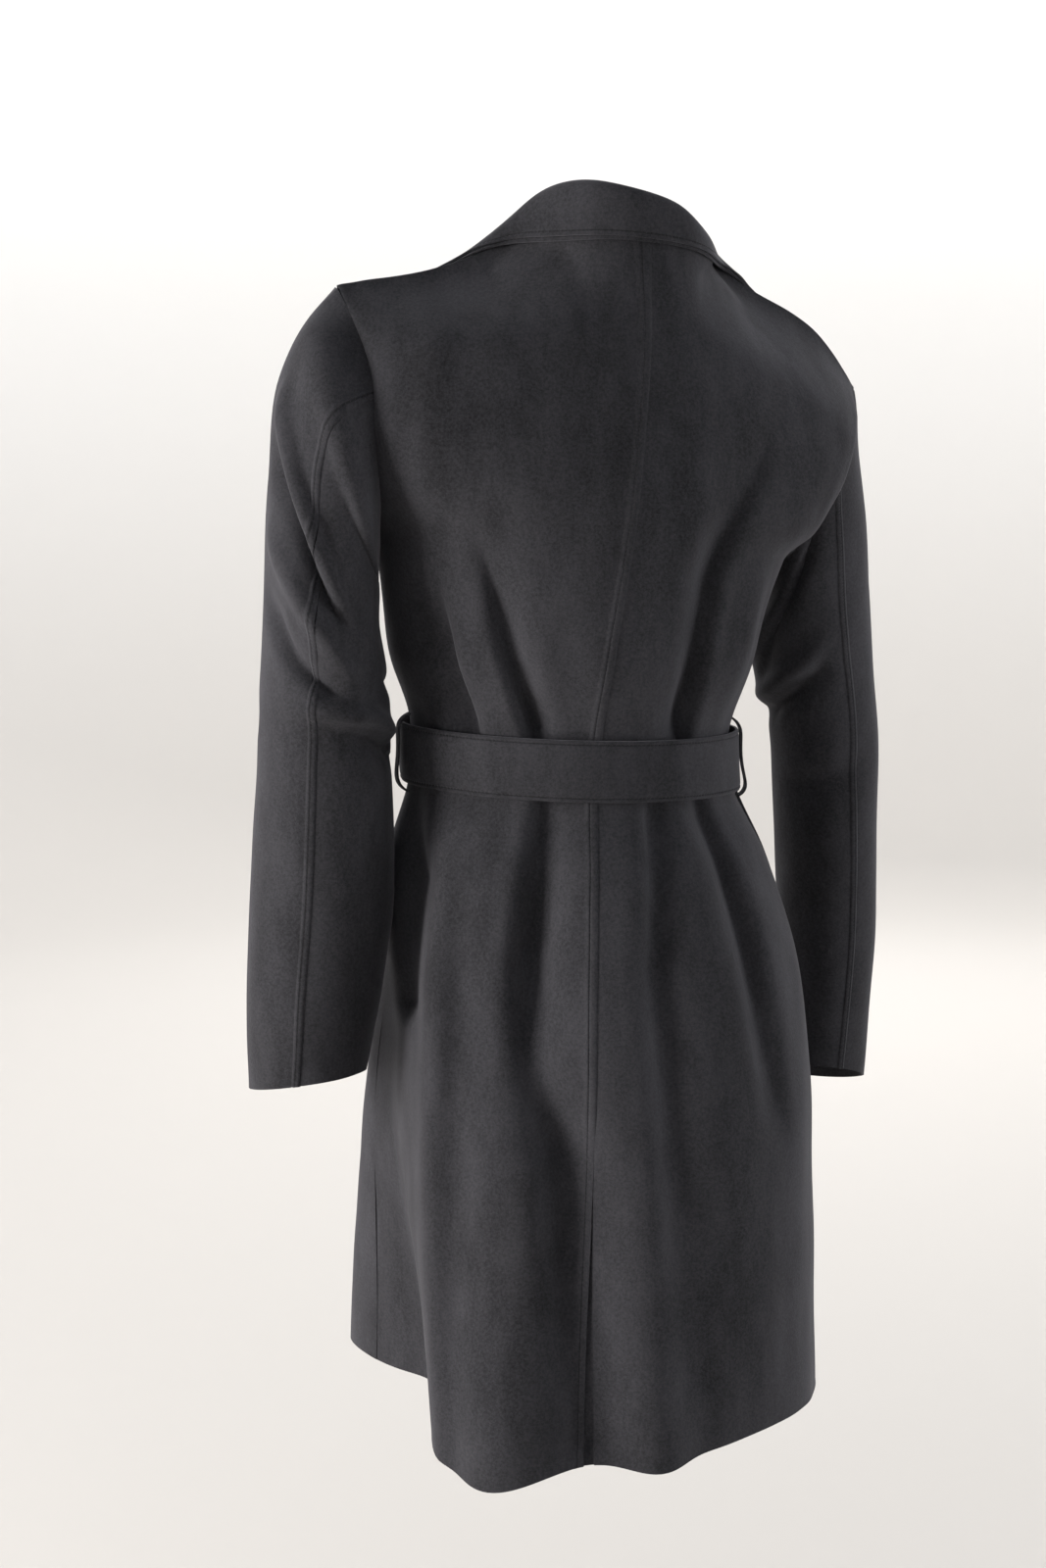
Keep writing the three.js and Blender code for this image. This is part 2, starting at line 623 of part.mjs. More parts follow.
// Two pieces of one sleeve: the upper one lies outside, the under one against the body.
function sleevePanels(name, side, rings) {
  const surface = sleeveSurface(side, rings);
  const rows = [...SLEEVE_ROWS, rings.at(-1).along];
  const backAll = BACK_DROPS.map((drop) => sleeveAngle(drop, false));
  const frontAll = FRONT_DROPS.map((drop) => sleeveAngle(drop, true));
  const backSeam = sleeveAngle(SLEEVE_SEAM_DROPS.back, false);
  const frontSeam = sleeveAngle(SLEEVE_SEAM_DROPS.front, true);
  const upper = [
    frontSeam + SEAM_TURN,
    ...frontAll.filter((angle) => angle > frontSeam).reverse(),
    ...backAll.filter((angle) => angle < backSeam),
    backSeam - SEAM_TURN,
  ];
  const under = [
    backSeam + SEAM_TURN,
    ...backAll.filter((angle) => angle > backSeam),
    ...frontAll.filter((angle) => angle < frontSeam).reverse().map((angle) => angle + 360),
    frontSeam + 360 - SEAM_TURN,
  ];
  const walls = { row: 2, column: 1.5 };
  const out = side * CLOTH;
  return [
    cloth(name + "_upper", rows, () => upper, surface, 0, out, walls),
    cloth(name + "_under", rows, () => under, surface, 0, out, walls),
  ];
}

// Collar: from the neck seam up to the fold and down to the outer edge, by share from the back's
// middle to the gorge.
const FOLD_LEFT = table(["share", "x", "y", "z"], [
  [0, 0, 70, 28.5],
  [0.12, 24, 67, 31.5],
  [0.25, 46.5, 53, 34],
  [0.42, 65.5, 22, 28],
  [0.55, 71.5, 2, 18.5],
  [0.75, 75, -36, -9],
  [0.9, 76, -53, -34],
  [1, 73, -63, -46],
]);
const FOLD_RIGHT = table(["share", "x", "y", "z"], [
  [0, 0, 70, 28.5],
  [0.12, 22, 67, 23.5],
  [0.25, 47, 53, 18],
  [0.42, 77, 22, 21],
  [0.55, 82, 2, 16],
  [0.75, 82, -36, -12],
  [0.9, 77, -53, -37],
  [1, 73, -63, -46],
]);
// Outer edge: angle round the neck, and drop from the shoulder seam, negative on the back and
// positive on the front.
const COLLAR_EDGE = table(["share", "angle", "drop"], [
  [0, 0, -10.5],
  [0.12, 4.6, -10.5],
  [0.25, 10, -12],
  [0.33, 14.3, -12.5],
  [0.42, 20.5, -10.5],
  [0.5, 26.3, -4.5],
  [0.56, 29.8, -1],
  [0.62, 32.3, 1.5],
  [0.75, 36, 4.5],
  [0.9, 40, 7],
  [1, 42.5, 9],
]);
const GORGE_ROOM = 3.5; // drop between the collar's end and the lapel
const COLLAR_NECK = 0.55; // share of the collar's half that sits on the back neckline
const COLLAR_LIFT = { back: 10.8, front: 5.5, from: 0.42, fade: 0.2 }; // its edge's height off the coat
const COLLAR_SET_IN = { share: 0.925, up: 2.2 }; // the stand rises just inside the neckline
const COLLAR_WALL = 1.5;
const COLLAR_ROLL = 8; // half the width of the collar's rolled fold
const COLLAR_STEPS = 8;
const COLLAR_HALF = 0.45; // half the room between its two layers
const COLLAR_ROWS = [0.01, 0.2, 0.38, 0.46, 0.54, 0.62, 0.8, 1];
const NECK_END = THREE.MathUtils.radToDeg(Math.asin(NECK_SIDE.x / HALF_BACK));

// Place where the collar is sewn on, in the cut
function collarSeam(share) {
  if (share <= COLLAR_NECK) return cut((NECK_END * share) / COLLAR_NECK, 0, false);
  const drop = (LAPEL_START - GORGE_ROOM) * ((share - COLLAR_NECK) / (1 - COLLAR_NECK)) ** 1.6;
  return cut(frontEdge(drop), drop, true);
}

function collarSurface(across, over) {
  const side = across < 0 ? -1 : 1;
  const share = Math.abs(across);
  const at = (rows, column) => along(rows, "share", column, share);
  const mirrored = (p) => worn(point(side * p.x, p.y, p.z));
  const seam = collarSeam(share);
  const inside = COLLAR_SET_IN.share;
  const start = mirrored(point(seam.x * inside, seam.y * inside, seam.z + COLLAR_SET_IN.up));
  const foldRows = side > 0 ? FOLD_LEFT : FOLD_RIGHT;
  const fold = mirrored(point(at(foldRows, "x"), at(foldRows, "y"), at(foldRows, "z")));
  const edgeDrop = at(COLLAR_EDGE, "drop");
  const front = edgeDrop > 0;
  const t = at(COLLAR_EDGE, "angle");
  const angle = side * (front ? 180 - t : t);
  const towardsFront = smooth((share - COLLAR_LIFT.from) / COLLAR_LIFT.fade);
  const height = mix(COLLAR_LIFT.back, COLLAR_LIFT.front, towardsFront);
  const flat = coat(angle, Math.abs(edgeDrop), front);
  const lift = coat(angle, Math.abs(edgeDrop), front, 1).sub(flat);
  const edge = flat.add(lift.add(point(0, 0, 1)).setLength(height));
  const out = edge.clone().sub(start).setZ(0).normalize();
  if (over < 0.5) return bend(start, fold.clone().addScaledVector(out, -COLLAR_ROLL), fold, 2 * over);
  return bend(fold, fold.clone().addScaledVector(out, COLLAR_ROLL), edge, 2 * over - 1);
}

// A bend from one point to another that leaves towards a third and arrives from it
function bend(from, by, to, t) {
  return from
    .clone()
    .multiplyScalar((1 - t) ** 2)
    .addScaledVector(by, 2 * t * (1 - t))
    .addScaledVector(to, t ** 2);
}

function collarPanels() {
  const columns = () => steps(-1, 1, 2 * COLLAR_STEPS);
  const small = { column: 0.01, row: 0.01 };
  const near = COLLAR_HALF;
  const far = COLLAR_HALF + COLLAR_WALL;
  return [
    cloth("collar_upper", COLLAR_ROWS, columns, collarSurface, near, far, small),
    cloth("collar_under", COLLAR_ROWS, columns, collarSurface, -far, -near, small),
  ];
}

// Belt: a band round the waist, closed at the front under its knot.
const BELT_COLUMNS = 36;

// Distance of the band's near face from the waist, by angle
function beltRoom(angle) {
  return mix(BELT_ROOM.back, BELT_ROOM.front, smooth((Math.abs(turned(angle, 0)) - 50) / 40));
}

function waist(angle, drop, height) {
  const front = Math.abs(angle) > 90;
  const t = radians(front ? 180 - Math.abs(angle) : Math.abs(angle));
  const rows = front ? FRONT : BACK;
  const p = quarter(rows, drop, t);
  const wide = along(BACK, "drop", "edgeX", BELT_MIDDLE);
  const deep = Math.abs(along(rows, "drop", "middleY", BELT_MIDDLE));
  const waistPoint = point(wide * Math.sin(t), (front ? -1 : 1) * deep * Math.cos(t), p.z);
  const out = point(Math.sin(t) * deep, (front ? -1 : 1) * Math.cos(t) * wide, 0).normalize();
  waistPoint.addScaledVector(out, height);
  waistPoint.x *= angle < 0 ? -1 : 1;
  return worn(waistPoint);
}

function beltBand() {
  const angles = steps(-180, 180, BELT_COLUMNS).slice(0, -1);
  const drops = [BELT_TOP, BELT_TOP + BELT_WIDTH];
  const place = (angle, drop, height) => waist(angle, drop, beltRoom(angle) + height);
  const grid = (height) => drops.map((drop) => angles.map((angle) => place(angle, drop, height)));
  return wall("belt", grid(0), grid(BELT_WALL), true);
}

// A belt loop: a narrow strap that leaves the side seam above the belt and returns below it.
function beltLoop(name, side) {
  const reach = BELT_WIDTH / 2 + LOOP_REACH;
  const half = THREE.MathUtils.radToDeg(LOOP_WIDTH / 2 / BACK[9].edgeX);
  const bulge = side > 0 ? LOOP_BULGE.left : LOOP_BULGE.right;
  const standing = beltRoom(LOOP_ANGLE) + BELT_WALL - CLOTH - LOOP_FOOT + bulge;
  const grid = (outer) =>
    steps(-1, 1, 12).map((t) => {
      const drop = BELT_MIDDLE + t * (outer ? reach : reach - LOOP_WALL);
      const height = (standing + (outer ? LOOP_WALL : 0)) * (1 - t ** 6);
      return [-half, half].map((aside) => {
        const angle = side * LOOP_ANGLE + aside;
        const out = waist(angle, drop, 1).sub(waist(angle, drop, 0));
        return worn(cut(angle, drop, false)).addScaledVector(out, CLOTH + LOOP_FOOT + height);
      });
    });
  return wall(name, grid(false), grid(true));
}

// Knot: a rounded lump on the front of the belt, its sides flattened.
function knotLump() {
  const at = placeOnFront(KNOT.aside, -BELT_MIDDLE);
  const seat = waist(-at.angle, BELT_MIDDLE, BELT_ROOM.front + BELT_WALL + SEAM + KNOT.deep);
  const out = waist(-at.angle, BELT_MIDDLE, 1).sub(waist(-at.angle, BELT_MIDDLE, 0)).normalize();
  const up = point(0, 0, 1);
  const across = out.clone().cross(up).normalize();
  const flat = (value) => Math.sign(value) * Math.abs(value) ** 0.7;
  const rows = steps(0, Math.PI, 8).slice(1, -1);
  const columns = steps(0, 2 * Math.PI, 14).slice(0, -1);
  const lump = (turn, round) =>
    seat
      .clone()
      .addScaledVector(up, KNOT.high * flat(Math.cos(turn)))
      .addScaledVector(across, KNOT.across * flat(Math.sin(turn)) * flat(Math.cos(round)))
      .addScaledVector(out, KNOT.deep * flat(Math.sin(turn)) * flat(Math.sin(round)));
  const rings = rows.flatMap((turn) => columns.map((round) => lump(turn, round)));
  const points = [...rings, lump(0, 0), lump(Math.PI, 0)];
  const count = columns.length;
  const top = rows.length * count;
  const faces = [];
  columns.forEach((_, c) => {
    const next = (c + 1) % count;
    faces.push([top, next, c], [top + 1, top - count + c, top - count + next]);
    for (let r = 0; r < rows.length - 1; r += 1) {
      const here = r * count;
      const below = here + count;
      faces.push([here + c, here + next, below + next], [here + c, below + next, below + c]);
    }
  });
  return closedMesh("belt_knot", points, faces);
}

// One hanging end of the belt, from under the knot down the front of the skirt. It is gathered to a
// share of its width as it leaves the knot, and comes down to its height over the cloth.
const END_GATHER = { share: 0.62, over: 0.2 };
const END_SETTLE = 0.35;

function beltEnd(name, length, lean, height, stand) {
  const top = BELT_MIDDLE + KNOT.high + SEAM;
  const grid = (sunk) =>
    steps(0, 1, 9).map((down) =>
      steps(-1, 1, 3).map((across) => {
        const width = (BELT_WIDTH / 2) * mix(END_GATHER.share, 1, smooth(down / END_GATHER.over));
        const x = KNOT.aside + lean * down * length + across * width;
        const at = placeOnFront(x, -(top + down * length));
        const off = mix(stand, height, smooth(down / END_SETTLE)) - sunk;
        const p = waist(-at.angle, top, 1).sub(waist(-at.angle, top, 0)).setLength(off);
        return worn(cut(at.angle, at.drop, true)).add(p);
      }),
    );
  return wall(name, grid(0), grid(BELT_WALL));
}

const coatGroup = new THREE.Group();
coatGroup.add(
  backPanel("back_left", 1),
  backPanel("back_right", -1),
  ventUnderlap(),
  frontPanel("front_left", 1),
  frontPanel("front_right", -1),
  lapelPanel("lapel_left", 1),
  lapelPanel("lapel_right", -1),
  ...sleevePanels("sleeve_left", 1, SLEEVE_LEFT),
  ...sleevePanels("sleeve_right", -1, SLEEVE_RIGHT),
  ...collarPanels(),
  beltBand(),
  knotLump(),
  beltEnd("belt_end_upper", END_LENGTH.upper, 0.13, 17.5, KNOT_STAND),
  beltEnd("belt_end_under", END_LENGTH.under, -0.16, 12, KNOT_STAND - BELT_WALL - 1),
  beltLoop("belt_loop_left", 1),
  beltLoop("belt_loop_right", -1),
);
export default coatGroup;
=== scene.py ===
import bmesh
import bpy
import numpy as np
from mathutils import Matrix, Vector


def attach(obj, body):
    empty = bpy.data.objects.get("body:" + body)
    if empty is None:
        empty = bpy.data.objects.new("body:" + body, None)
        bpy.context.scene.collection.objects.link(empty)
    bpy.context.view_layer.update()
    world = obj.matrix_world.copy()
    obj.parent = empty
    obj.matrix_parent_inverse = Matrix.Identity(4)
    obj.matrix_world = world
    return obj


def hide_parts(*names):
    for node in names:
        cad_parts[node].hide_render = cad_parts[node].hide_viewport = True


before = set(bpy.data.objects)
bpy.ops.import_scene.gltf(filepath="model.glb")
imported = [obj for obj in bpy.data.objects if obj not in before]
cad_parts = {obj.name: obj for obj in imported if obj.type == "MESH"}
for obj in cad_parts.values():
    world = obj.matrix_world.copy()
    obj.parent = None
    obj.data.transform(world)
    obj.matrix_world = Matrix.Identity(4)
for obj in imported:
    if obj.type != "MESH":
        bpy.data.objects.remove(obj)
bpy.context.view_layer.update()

bl_info = {
    "name": "Belted wrap coat",
    "version": (1, 0, 0),
    "blender": (4, 5, 0),
    "location": "3D View > Sidebar > Coat",
    "description": "A belted wrap coat in suede-like cloth, sewn from its cut pieces, on a pale stage",
    "category": "Add Mesh",
}

# The cut is drawn in millimetres and degrees. MM turns its points into Blender's metres.
# The front faces -Y, the wearer's left is +X, and the origin is the middle of the neck base.
MM = 0.001

COAT_LENGTH = 940
CLOTH = 1.8
SEAM = 0.3
LAYER = 0.4
UNDERARM = 240
NECK_SIDE = (78, 4, -3)
NECK_FRONT = (-70, -75)
SHOULDER_SAG = 10
SHOULDER_RISE = 20
RISE_OUTWARDS = 2.4
BOW_FROM = 62
HALF_BACK = 218
YOKE = 75
NECK_SOFT = 13
NECK_SOFT_DROP = 22
RIGHT_REACH = 0.05
SHOULDER_TIP = (0.09, 0.08)
BELT_TOP = 384
BELT_WIDTH = 48
BELT_MIDDLE = BELT_TOP + BELT_WIDTH / 2
BELT_WALL = 3
BELT_ROOM = (4.6, 9)
BREAK_DROP = 360
WRAP = 92
LAPEL_START = 22
LAPEL_ROLL = 3.2
LAPEL_REST = 6.2
OVERLAP_LIFT = (10.2, 5.2)
VENT_DROP = 690
VENT_TUCK = 0.4
VENT_GAP = 8
VENT_WIDTH = 70
LOOP_WIDTH = 8
LOOP_WALL = 1.6
LOOP_REACH = 9
LOOP_BULGE = (2.5, 2)
LOOP_FOOT = 1.4
LOOP_ANGLE = 86
KNOT = (27, 30, 13)
KNOT_ASIDE = 8
KNOT_STAND = 24
END_LENGTH = (262, 236)
HEM_DIP_FROM = 600
SEAM_ANGLE = 0.05
WAIST_TIP = (0.045, 90)

# Columns: drop, side edge across, its depth and height, then the middle's depth and height.
BACK = np.array([
    [0, 218, 0, -77, 68, 0],
    [35, 210, 22, -100, 78, -35],
    [80, 198, 46, -135, 92, -80],
    [140, 190, 54, -175, 106, -140],
    [195, 179, 38, -213, 116, -195],
    [240, 167, 0, -240, 118, -240],
    [285, 156, 0, -285, 117, -285],
    [327, 147, 0, -327, 115, -327],
    [384, 129, 0, -384, 100, -384],
    [409, 128, 0, -409, 99, -409],
    [434, 132, 0, -434, 100, -434],
    [487, 152, 0, -487, 124, -487],
    [550, 167, 0, -550, 140, -550],
    [674, 185, 0, -674, 158, -674],
    [783, 192, 0, -783, 166, -783],
    [940, 194, 0, -940, 172, -940],
], float)
FRONT = np.array([
    [0, 218, 0, -77, -70, -75],
    [35, 208, -18, -103, -82, -97],
    [80, 190, -38, -142, -98, -126],
    [140, 180, -44, -180, -113, -166],
    [195, 173, -30, -215, -121, -205],
    [240, 167, 0, -240, -123, -240],
    [285, 156, 0, -285, -120, -285],
    [327, 147, 0, -327, -115, -327],
    [384, 129, 0, -384, -98, -384],
    [409, 128, 0, -409, -97, -409],
    [434, 132, 0, -434, -98, -434],
    [487, 152, 0, -487, -118, -487],
    [550, 167, 0, -550, -132, -550],
    [674, 185, 0, -674, -150, -674],
    [783, 192, 0, -783, -166, -783],
    [940, 194, 0, -940, -178, -940],
], float)

# Columns: drop, shift across, turn.
STANCE = np.array([
    [-60, -5, 15.5],
    [0, 0, 15.5],
    [70, 7, 14.5],
    [170, 17, 11.5],
    [240, 22, 9],
    [327, 29, 6],
    [410, 31, 3.5],
    [487, 25, -2],
    [550, 20, -5],
    [674, 16, -7],
    [783, 16, -7.5],
    [980, 14, -8],
], float)

# Long folds of the body. Columns: drop, angle and depth at three places, then the width in degrees towards lower
# and towards higher angles. A small width is a crisp edge, a large one a soft slope.
FOLDS = (
    (215, 43, 0, 315, 33, -15, 388, 23, -22, 8, 2.6),
    (270, 15, 0, 330, 13, -5, 386, 10, -5, 7, 7),
    (70, -36, 0, 260, -28, -14, 388, -35, -22, 2.8, 9),
    (200, -48, 0, 300, -50, 5, 388, -52, 2, 7, 7),
    (250, 58, 0, 325, 53, -16, 388, 46, -18, 3, 10),
    (436, 78, -3, 500, 62, -13, 600, 62, -12, 9, 9),
    (500, 84, 0, 640, 76, -20, 945, 67, -54, 22, 22),
    (450, 50, 0, 600, 42, 12, 945, 36, 14, 4.5, 7),
    (430, 17, -14, 550, 19, -26, 690, 15, -4, 10, 4.2),
    (610, 15, 0, 705, 8.5, -22, 920, 3, -7, 11, 4.5),
    (600, 25, 0, 760, 22, 12, 945, 20, 34, 13, 13),
    (430, -20, -12, 560, -16, -14, 880, -22, -4, 7, 4),
    (640, -12, 0, 800, -13, 8, 945, -14, 20, 8, 8),
    (430, -43, -14, 540, -50, -18, 760, -56, 0, 3.2, 8),
    (600, -80, 0, 800, -80, -5, 945, -80, -4, 26, 26),
    (240, 118, 0, 330, 122, -7, 386, 126, -8, 8, 8),
    (240, -116, 0, 330, -120, -8, 386, -124, -8, 8, 8),
    (434, 120, -6, 560, 117, -11, 800, 115, 0, 8, 8),
    (434, 140, -4, 620, 141, -9, 945, 140, -14, 10, 10),
    (434, -114, -6, 560, -110, -11, 780, -108, 0, 8, 8),
    (434, -134, -4, 620, -132, -10, 945, -130, -16, 10, 10),
    (560, 104, 0, 760, 108, 10, 945, 110, 22, 13, 13),
)
BELT_PRESS = 0.75
BELT_PRESS_REACH = 30

# Hem dips: angle, dip, width in degrees.
HEM_DIPS = ((24, 17, 14), (-14, 4, 9), (-50, -4, 18), (-82, 4, 14), (62, -9, 20), (96, -11, 26))

# The roll line in front view: depth under the nape, place across.
ROLL = np.array([
    [0, 78], [60, 66], [140, 40], [220, 3], [290, -42], [338, -80],
    [BREAK_DROP, -WRAP], [384, -WRAP - 2], [COAT_LENGTH, -WRAP - 12],
], float)

# Lapel: share of the roll line, width, rise in degrees.
LAPEL = np.array([
    [0, 96, -3], [0.1, 102, -3], [0.3, 103, -8], [0.55, 82, -20], [0.8, 46, -26], [1, 10, -28],
], float)
NOTCH = (0.5, 26, 0.14)

# Sleeves. Columns: way along the arm, outer edge across and up, inner edge across and up, depth, half depth, rise.
SLEEVE_LEFT = np.array([
    [24, 241, -67, 191, -256, 50, 61, 6],
    [60, 262, -109, 191, -268, 46, 60, 6],
    [115, 271, -185, 190, -296, 41, 61, 6],
    [195, 277, -285, 184, -342, 35, 59, 4],
    [290, 282, -385, 181, -402, 30, 57, 4],
    [405, 290, -503, 180, -508, 27, 55, 6],
    [510, 295, -596, 190, -594, 24, 52, 8],
    [606, 294, -673, 203, -660, 20, 50, 9],
], float)
SLEEVE_RIGHT = np.array([
    [24, -214, -134, -147, -266, -60, 58, 3],
    [60, -219, -162, -146, -290, -69, 58, 7],
    [115, -231, -226, -140, -320, -80, 60, 14],
    [195, -240, -307, -148, -354, -93, 58, 14],
    [290, -252, -397, -165, -412, -106, 55, 12],
    [405, -260, -512, -175, -507, -124, 54, 16],
    [510, -266, -607, -184, -594, -143, 51, 18],
    [630, -264, -737, -179, -723, -161, 50, 18],
], float)
ARMHOLE_ROOM = 0.5
ARMHOLE_OVER = 0.3
TUCK = (40, 140, 30, 2)
SEAM_TURN = 0.25
SLEEVE_SEAM_DROPS = (105, 140)
SLEEVE_SEAM_BACK = 180 * (SLEEVE_SEAM_DROPS[0] - SEAM) / (UNDERARM - SEAM)
SLEEVE_SEAM_FRONT = -180 * (SLEEVE_SEAM_DROPS[1] - SEAM) / (UNDERARM - SEAM)

# Creases of the sleeves: (angle, way along, depth) at each point, then the widths in millimetres on either side.
CREASES_LEFT = (
    (((18, 60, 0), (34, 74, 6), (70, 112, 7), (100, 150, 4)), 8, 10),
    (((12, 92, 0), (30, 106, -7), (60, 130, -9), (95, 160, -7)), 10, 9),
    (((14, 138, 0), (36, 150, 5), (75, 178, 7), (105, 205, 4)), 9, 12),
    (((10, 182, 0), (30, 198, -6), (55, 222, -8), (90, 238, -7)), 13, 8),
    (((60, 262, 2), (95, 255, 6), (130, 250, 7), (165, 262, 4)), 14, 7),
    (((90, 275, -2), (130, 272, -6), (165, 282, -5)), 6, 16),
    (((-90, 240, 1), (-60, 262, -5), (-30, 270, -4), (10, 280, 0)), 14, 12),
    (((150, 190, 0), (180, 205, -5), (215, 215, -6), (250, 210, 0)), 12, 10),
)
CREASES_RIGHT = (
    (((100, 40, -3), (125, 95, -6), (150, 150, -6), (165, 200, -2)), 12, 14),
    (((85, 190, 0), (120, 214, 5), (160, 226, 5), (200, 230, 2)), 14, 10),
    (((95, 226, -1), (130, 246, -7), (170, 256, -7), (210, 250, -2)), 9, 16),
    (((60, 330, 0), (100, 350, -3), (140, 352, -4), (170, 345, -1)), 14, 18),
    (((-80, 90, 1), (-50, 130, -5), (-20, 160, -4), (20, 180, 0)), 14, 12),
    (((-95, 230, 0), (-60, 250, -5), (-25, 262, -5), (10, 266, 0)), 14, 12),
)

CREASE_GAIN = 1.35

# Collar: share from the back's middle to the gorge, then the fold's place.
FOLD_LEFT = np.array([
    [0, 0, 70, 28.5],
    [0.12, 24, 67, 31.5],
    [0.25, 46.5, 53, 34],
    [0.42, 65.5, 22, 28],
    [0.55, 71.5, 2, 18.5],
    [0.75, 75, -36, -9],
    [0.9, 76, -53, -34],
    [1, 73, -63, -46],
], float)
FOLD_RIGHT = np.array([
    [0, 0, 70, 28.5],
    [0.12, 22, 67, 23.5],
    [0.25, 44, 53, 13],
    [0.42, 66, 22, 6],
    [0.55, 73, 2, 2.5],
    [0.75, 78, -36, -18],
    [0.9, 77, -53, -37],
    [1, 73, -63, -46],
], float)
# The collar's outer edge: share of its half from the middle back, angle from the middle of the back or of the front,
# and drop, which is written with a minus where the edge lies on the back.
COLLAR_EDGE = np.array([
    [0, 0, -10.5],
    [0.12, 4.6, -10.5],
    [0.25, 10, -12],
    [0.33, 14.3, -12.5],
    [0.42, 20.5, -10.5],
    [0.5, 26.3, -4.5],
    [0.56, 29.8, -1],
    [0.62, 32.3, 1.5],
    [0.75, 36, 4.5],
    [0.9, 40, 7],
    [1, 42.5, 9],
], float)
GORGE_ROOM = 3.5
COLLAR_NECK = 0.55
COLLAR_LIFT = (8.5, 5.5)
COLLAR_SET_IN = (0.925, 2.2)
COLLAR_WALL = 1.5
COLLAR_HALF = 0.45
COLLAR_ROLL = 8
NECK_END = np.degrees(np.arcsin(NECK_SIDE[0] / HALF_BACK))

# The photograph's view: camera place in metres, its turn and pitch in degrees, and its lens.
CAMERA_PLACE = (0.3299, 1.8711, -0.1335)
CAMERA_TURN = 170 + 2.0859
CAMERA_PITCH = -9
CAMERA_LENS = 54


def mix(a, b, share):
    return a + (b - a) * share


def ease(t):
    """Smooth step: three t squared less two t cubed, between 0 and 1."""
    t = np.clip(t, 0, 1)
    return t * t * (3 - 2 * t)


def bell(t):
    """e to the power of minus t squared."""
    return np.exp(-t * t)


def turned(a, b):
    """Shortest difference of two angles in degrees."""
    return (a - b + 180) % 360 - 180


def hermite(knots, values, at):
    """Smooth curve through values, which lie along the last axis but one, read at every entry of at. Each stretch is
    a cubic whose slopes at its ends are the two neighbouring slopes, weighted by the opposite steps."""
    step = np.diff(knots)
    slope = np.diff(values, axis=-2) / step[:, None]
    weight = step[1:] / (step[1:] + step[:-1])
    inner = slope[..., :-1, :] * weight[:, None] + slope[..., 1:, :] * (1 - weight)[:, None]
    tangent = np.concatenate([slope[..., :1, :], inner, slope[..., -1:, :]], axis=-2)
    at = np.clip(at, knots[0], knots[-1])
    i = np.clip(np.searchsorted(knots, at, side="right") - 1, 0, len(step) - 1)
    h = step[i]
    t = ((at - knots[i]) / h)[..., None]
    h = h[..., None]
    take = lambda a, k: np.take(a, k, axis=-2)
    return (
        ((2 * t - 3) * t * t + 1) * take(values, i)
        + ((t - 2) * t + 1) * t * h * take(tangent, i)
        + (3 - 2 * t) * t * t * take(values, i + 1)
        + (t - 1) * t * t * h * take(tangent, i + 1)
    )


def read(table, at):
    """A table's other columns, read smoothly at values of its first column."""
    return hermite(table[:, 0], table[:, 1:], np.asarray(at, float))


def side_bell(distance, low, high):
    """A bell whose two sides have widths of their own."""
    return bell(distance / np.where(distance < 0, low, high))


def fold_height(angle, drop):
    """Sum of all long folds. Each follows its angle from drop to drop in straight lines, with its depth eased between
    them, and fades out past its ends. The belt presses them flat."""
    height = np.zeros(np.broadcast(angle, drop).shape)
    for d0, a0, h0, d1, a1, h1, d2, a2, h2, low, high in FOLDS:
        lower = drop > d1
        t = np.where(lower, (drop - d1) / (d2 - d1), (drop - d0) / (d1 - d0))
        past = np.where(lower, np.maximum(0, drop - d2), np.maximum(0, d0 - drop))
        middle = np.where(lower, mix(a1, a2, t), mix(a0, a1, t))
        depth = np.where(lower, mix(h1, h2, ease(t)), mix(h0, h1, ease(t)))
        height += depth * side_bell(turned(angle, middle), low, high) * bell(past / 12)
    pressed = bell((drop - BELT_MIDDLE) / BELT_PRESS_REACH)
    return height * (1 - BELT_PRESS * pressed)


def crease_height(u, v, creases):
    """Sum of creases that follow broken lines. At each place the nearest point of the line gives the depth, and the
    distance from it, with a sign for its side, is read through a bell of two widths."""
    height = np.zeros(u.shape)
    for points, low, high in creases:
        nearest = np.full(u.shape, np.inf)
        added = np.zeros(u.shape)
        for (u0, v0, h0), (u1, v1, h1) in zip(points, points[1:]):
            du, dv = u1 - u0, v1 - v0
            t = np.clip(((u - u0) * du + (v - v0) * dv) / (du * du + dv * dv), 0, 1)
            away_u, away_v = u - u0 - t * du, v - v0 - t * dv
            distance = np.hypot(away_u, away_v)
            signed = distance * np.sign(du * away_v - dv * away_u)
            here = mix(h0, h1, t) * side_bell(signed, low, high)
            added = np.where(distance < nearest, here, added)
            nearest = np.minimum(nearest, distance)
        height += added
    return height


def ripples(u, v, seed, height, shortest=34, longest=110):
    """Faint unevenness: a sum of plane waves of seeded directions, lengths and phases."""
    rng = np.random.default_rng(seed)
    total = np.zeros(np.broadcast(u, v).shape)
    for _ in range(9):
        turn, phase = rng.uniform(0, np.pi), rng.uniform(0, 2 * np.pi)
        length = rng.uniform(shortest, longest)
        wave = 2 * np.pi / length
        total += np.sin(wave * (u * np.cos(turn) + v * np.sin(turn) * 0.6) + phase) * length / longest
    return total * height / 3


def soft_top_edge(t, front, drop):
    """The top edge averaged over a few degrees, so that its corner softens with the drop."""
    near = bell((np.degrees(t) - NECK_END) / NECK_SOFT)
    wide = np.radians(NECK_SOFT) * ease(drop / NECK_SOFT_DROP) * near
    shares = np.linspace(-1, 1, 5)
    return sum(top_edge(t + share * wide, front) for share in shares) / len(shares)


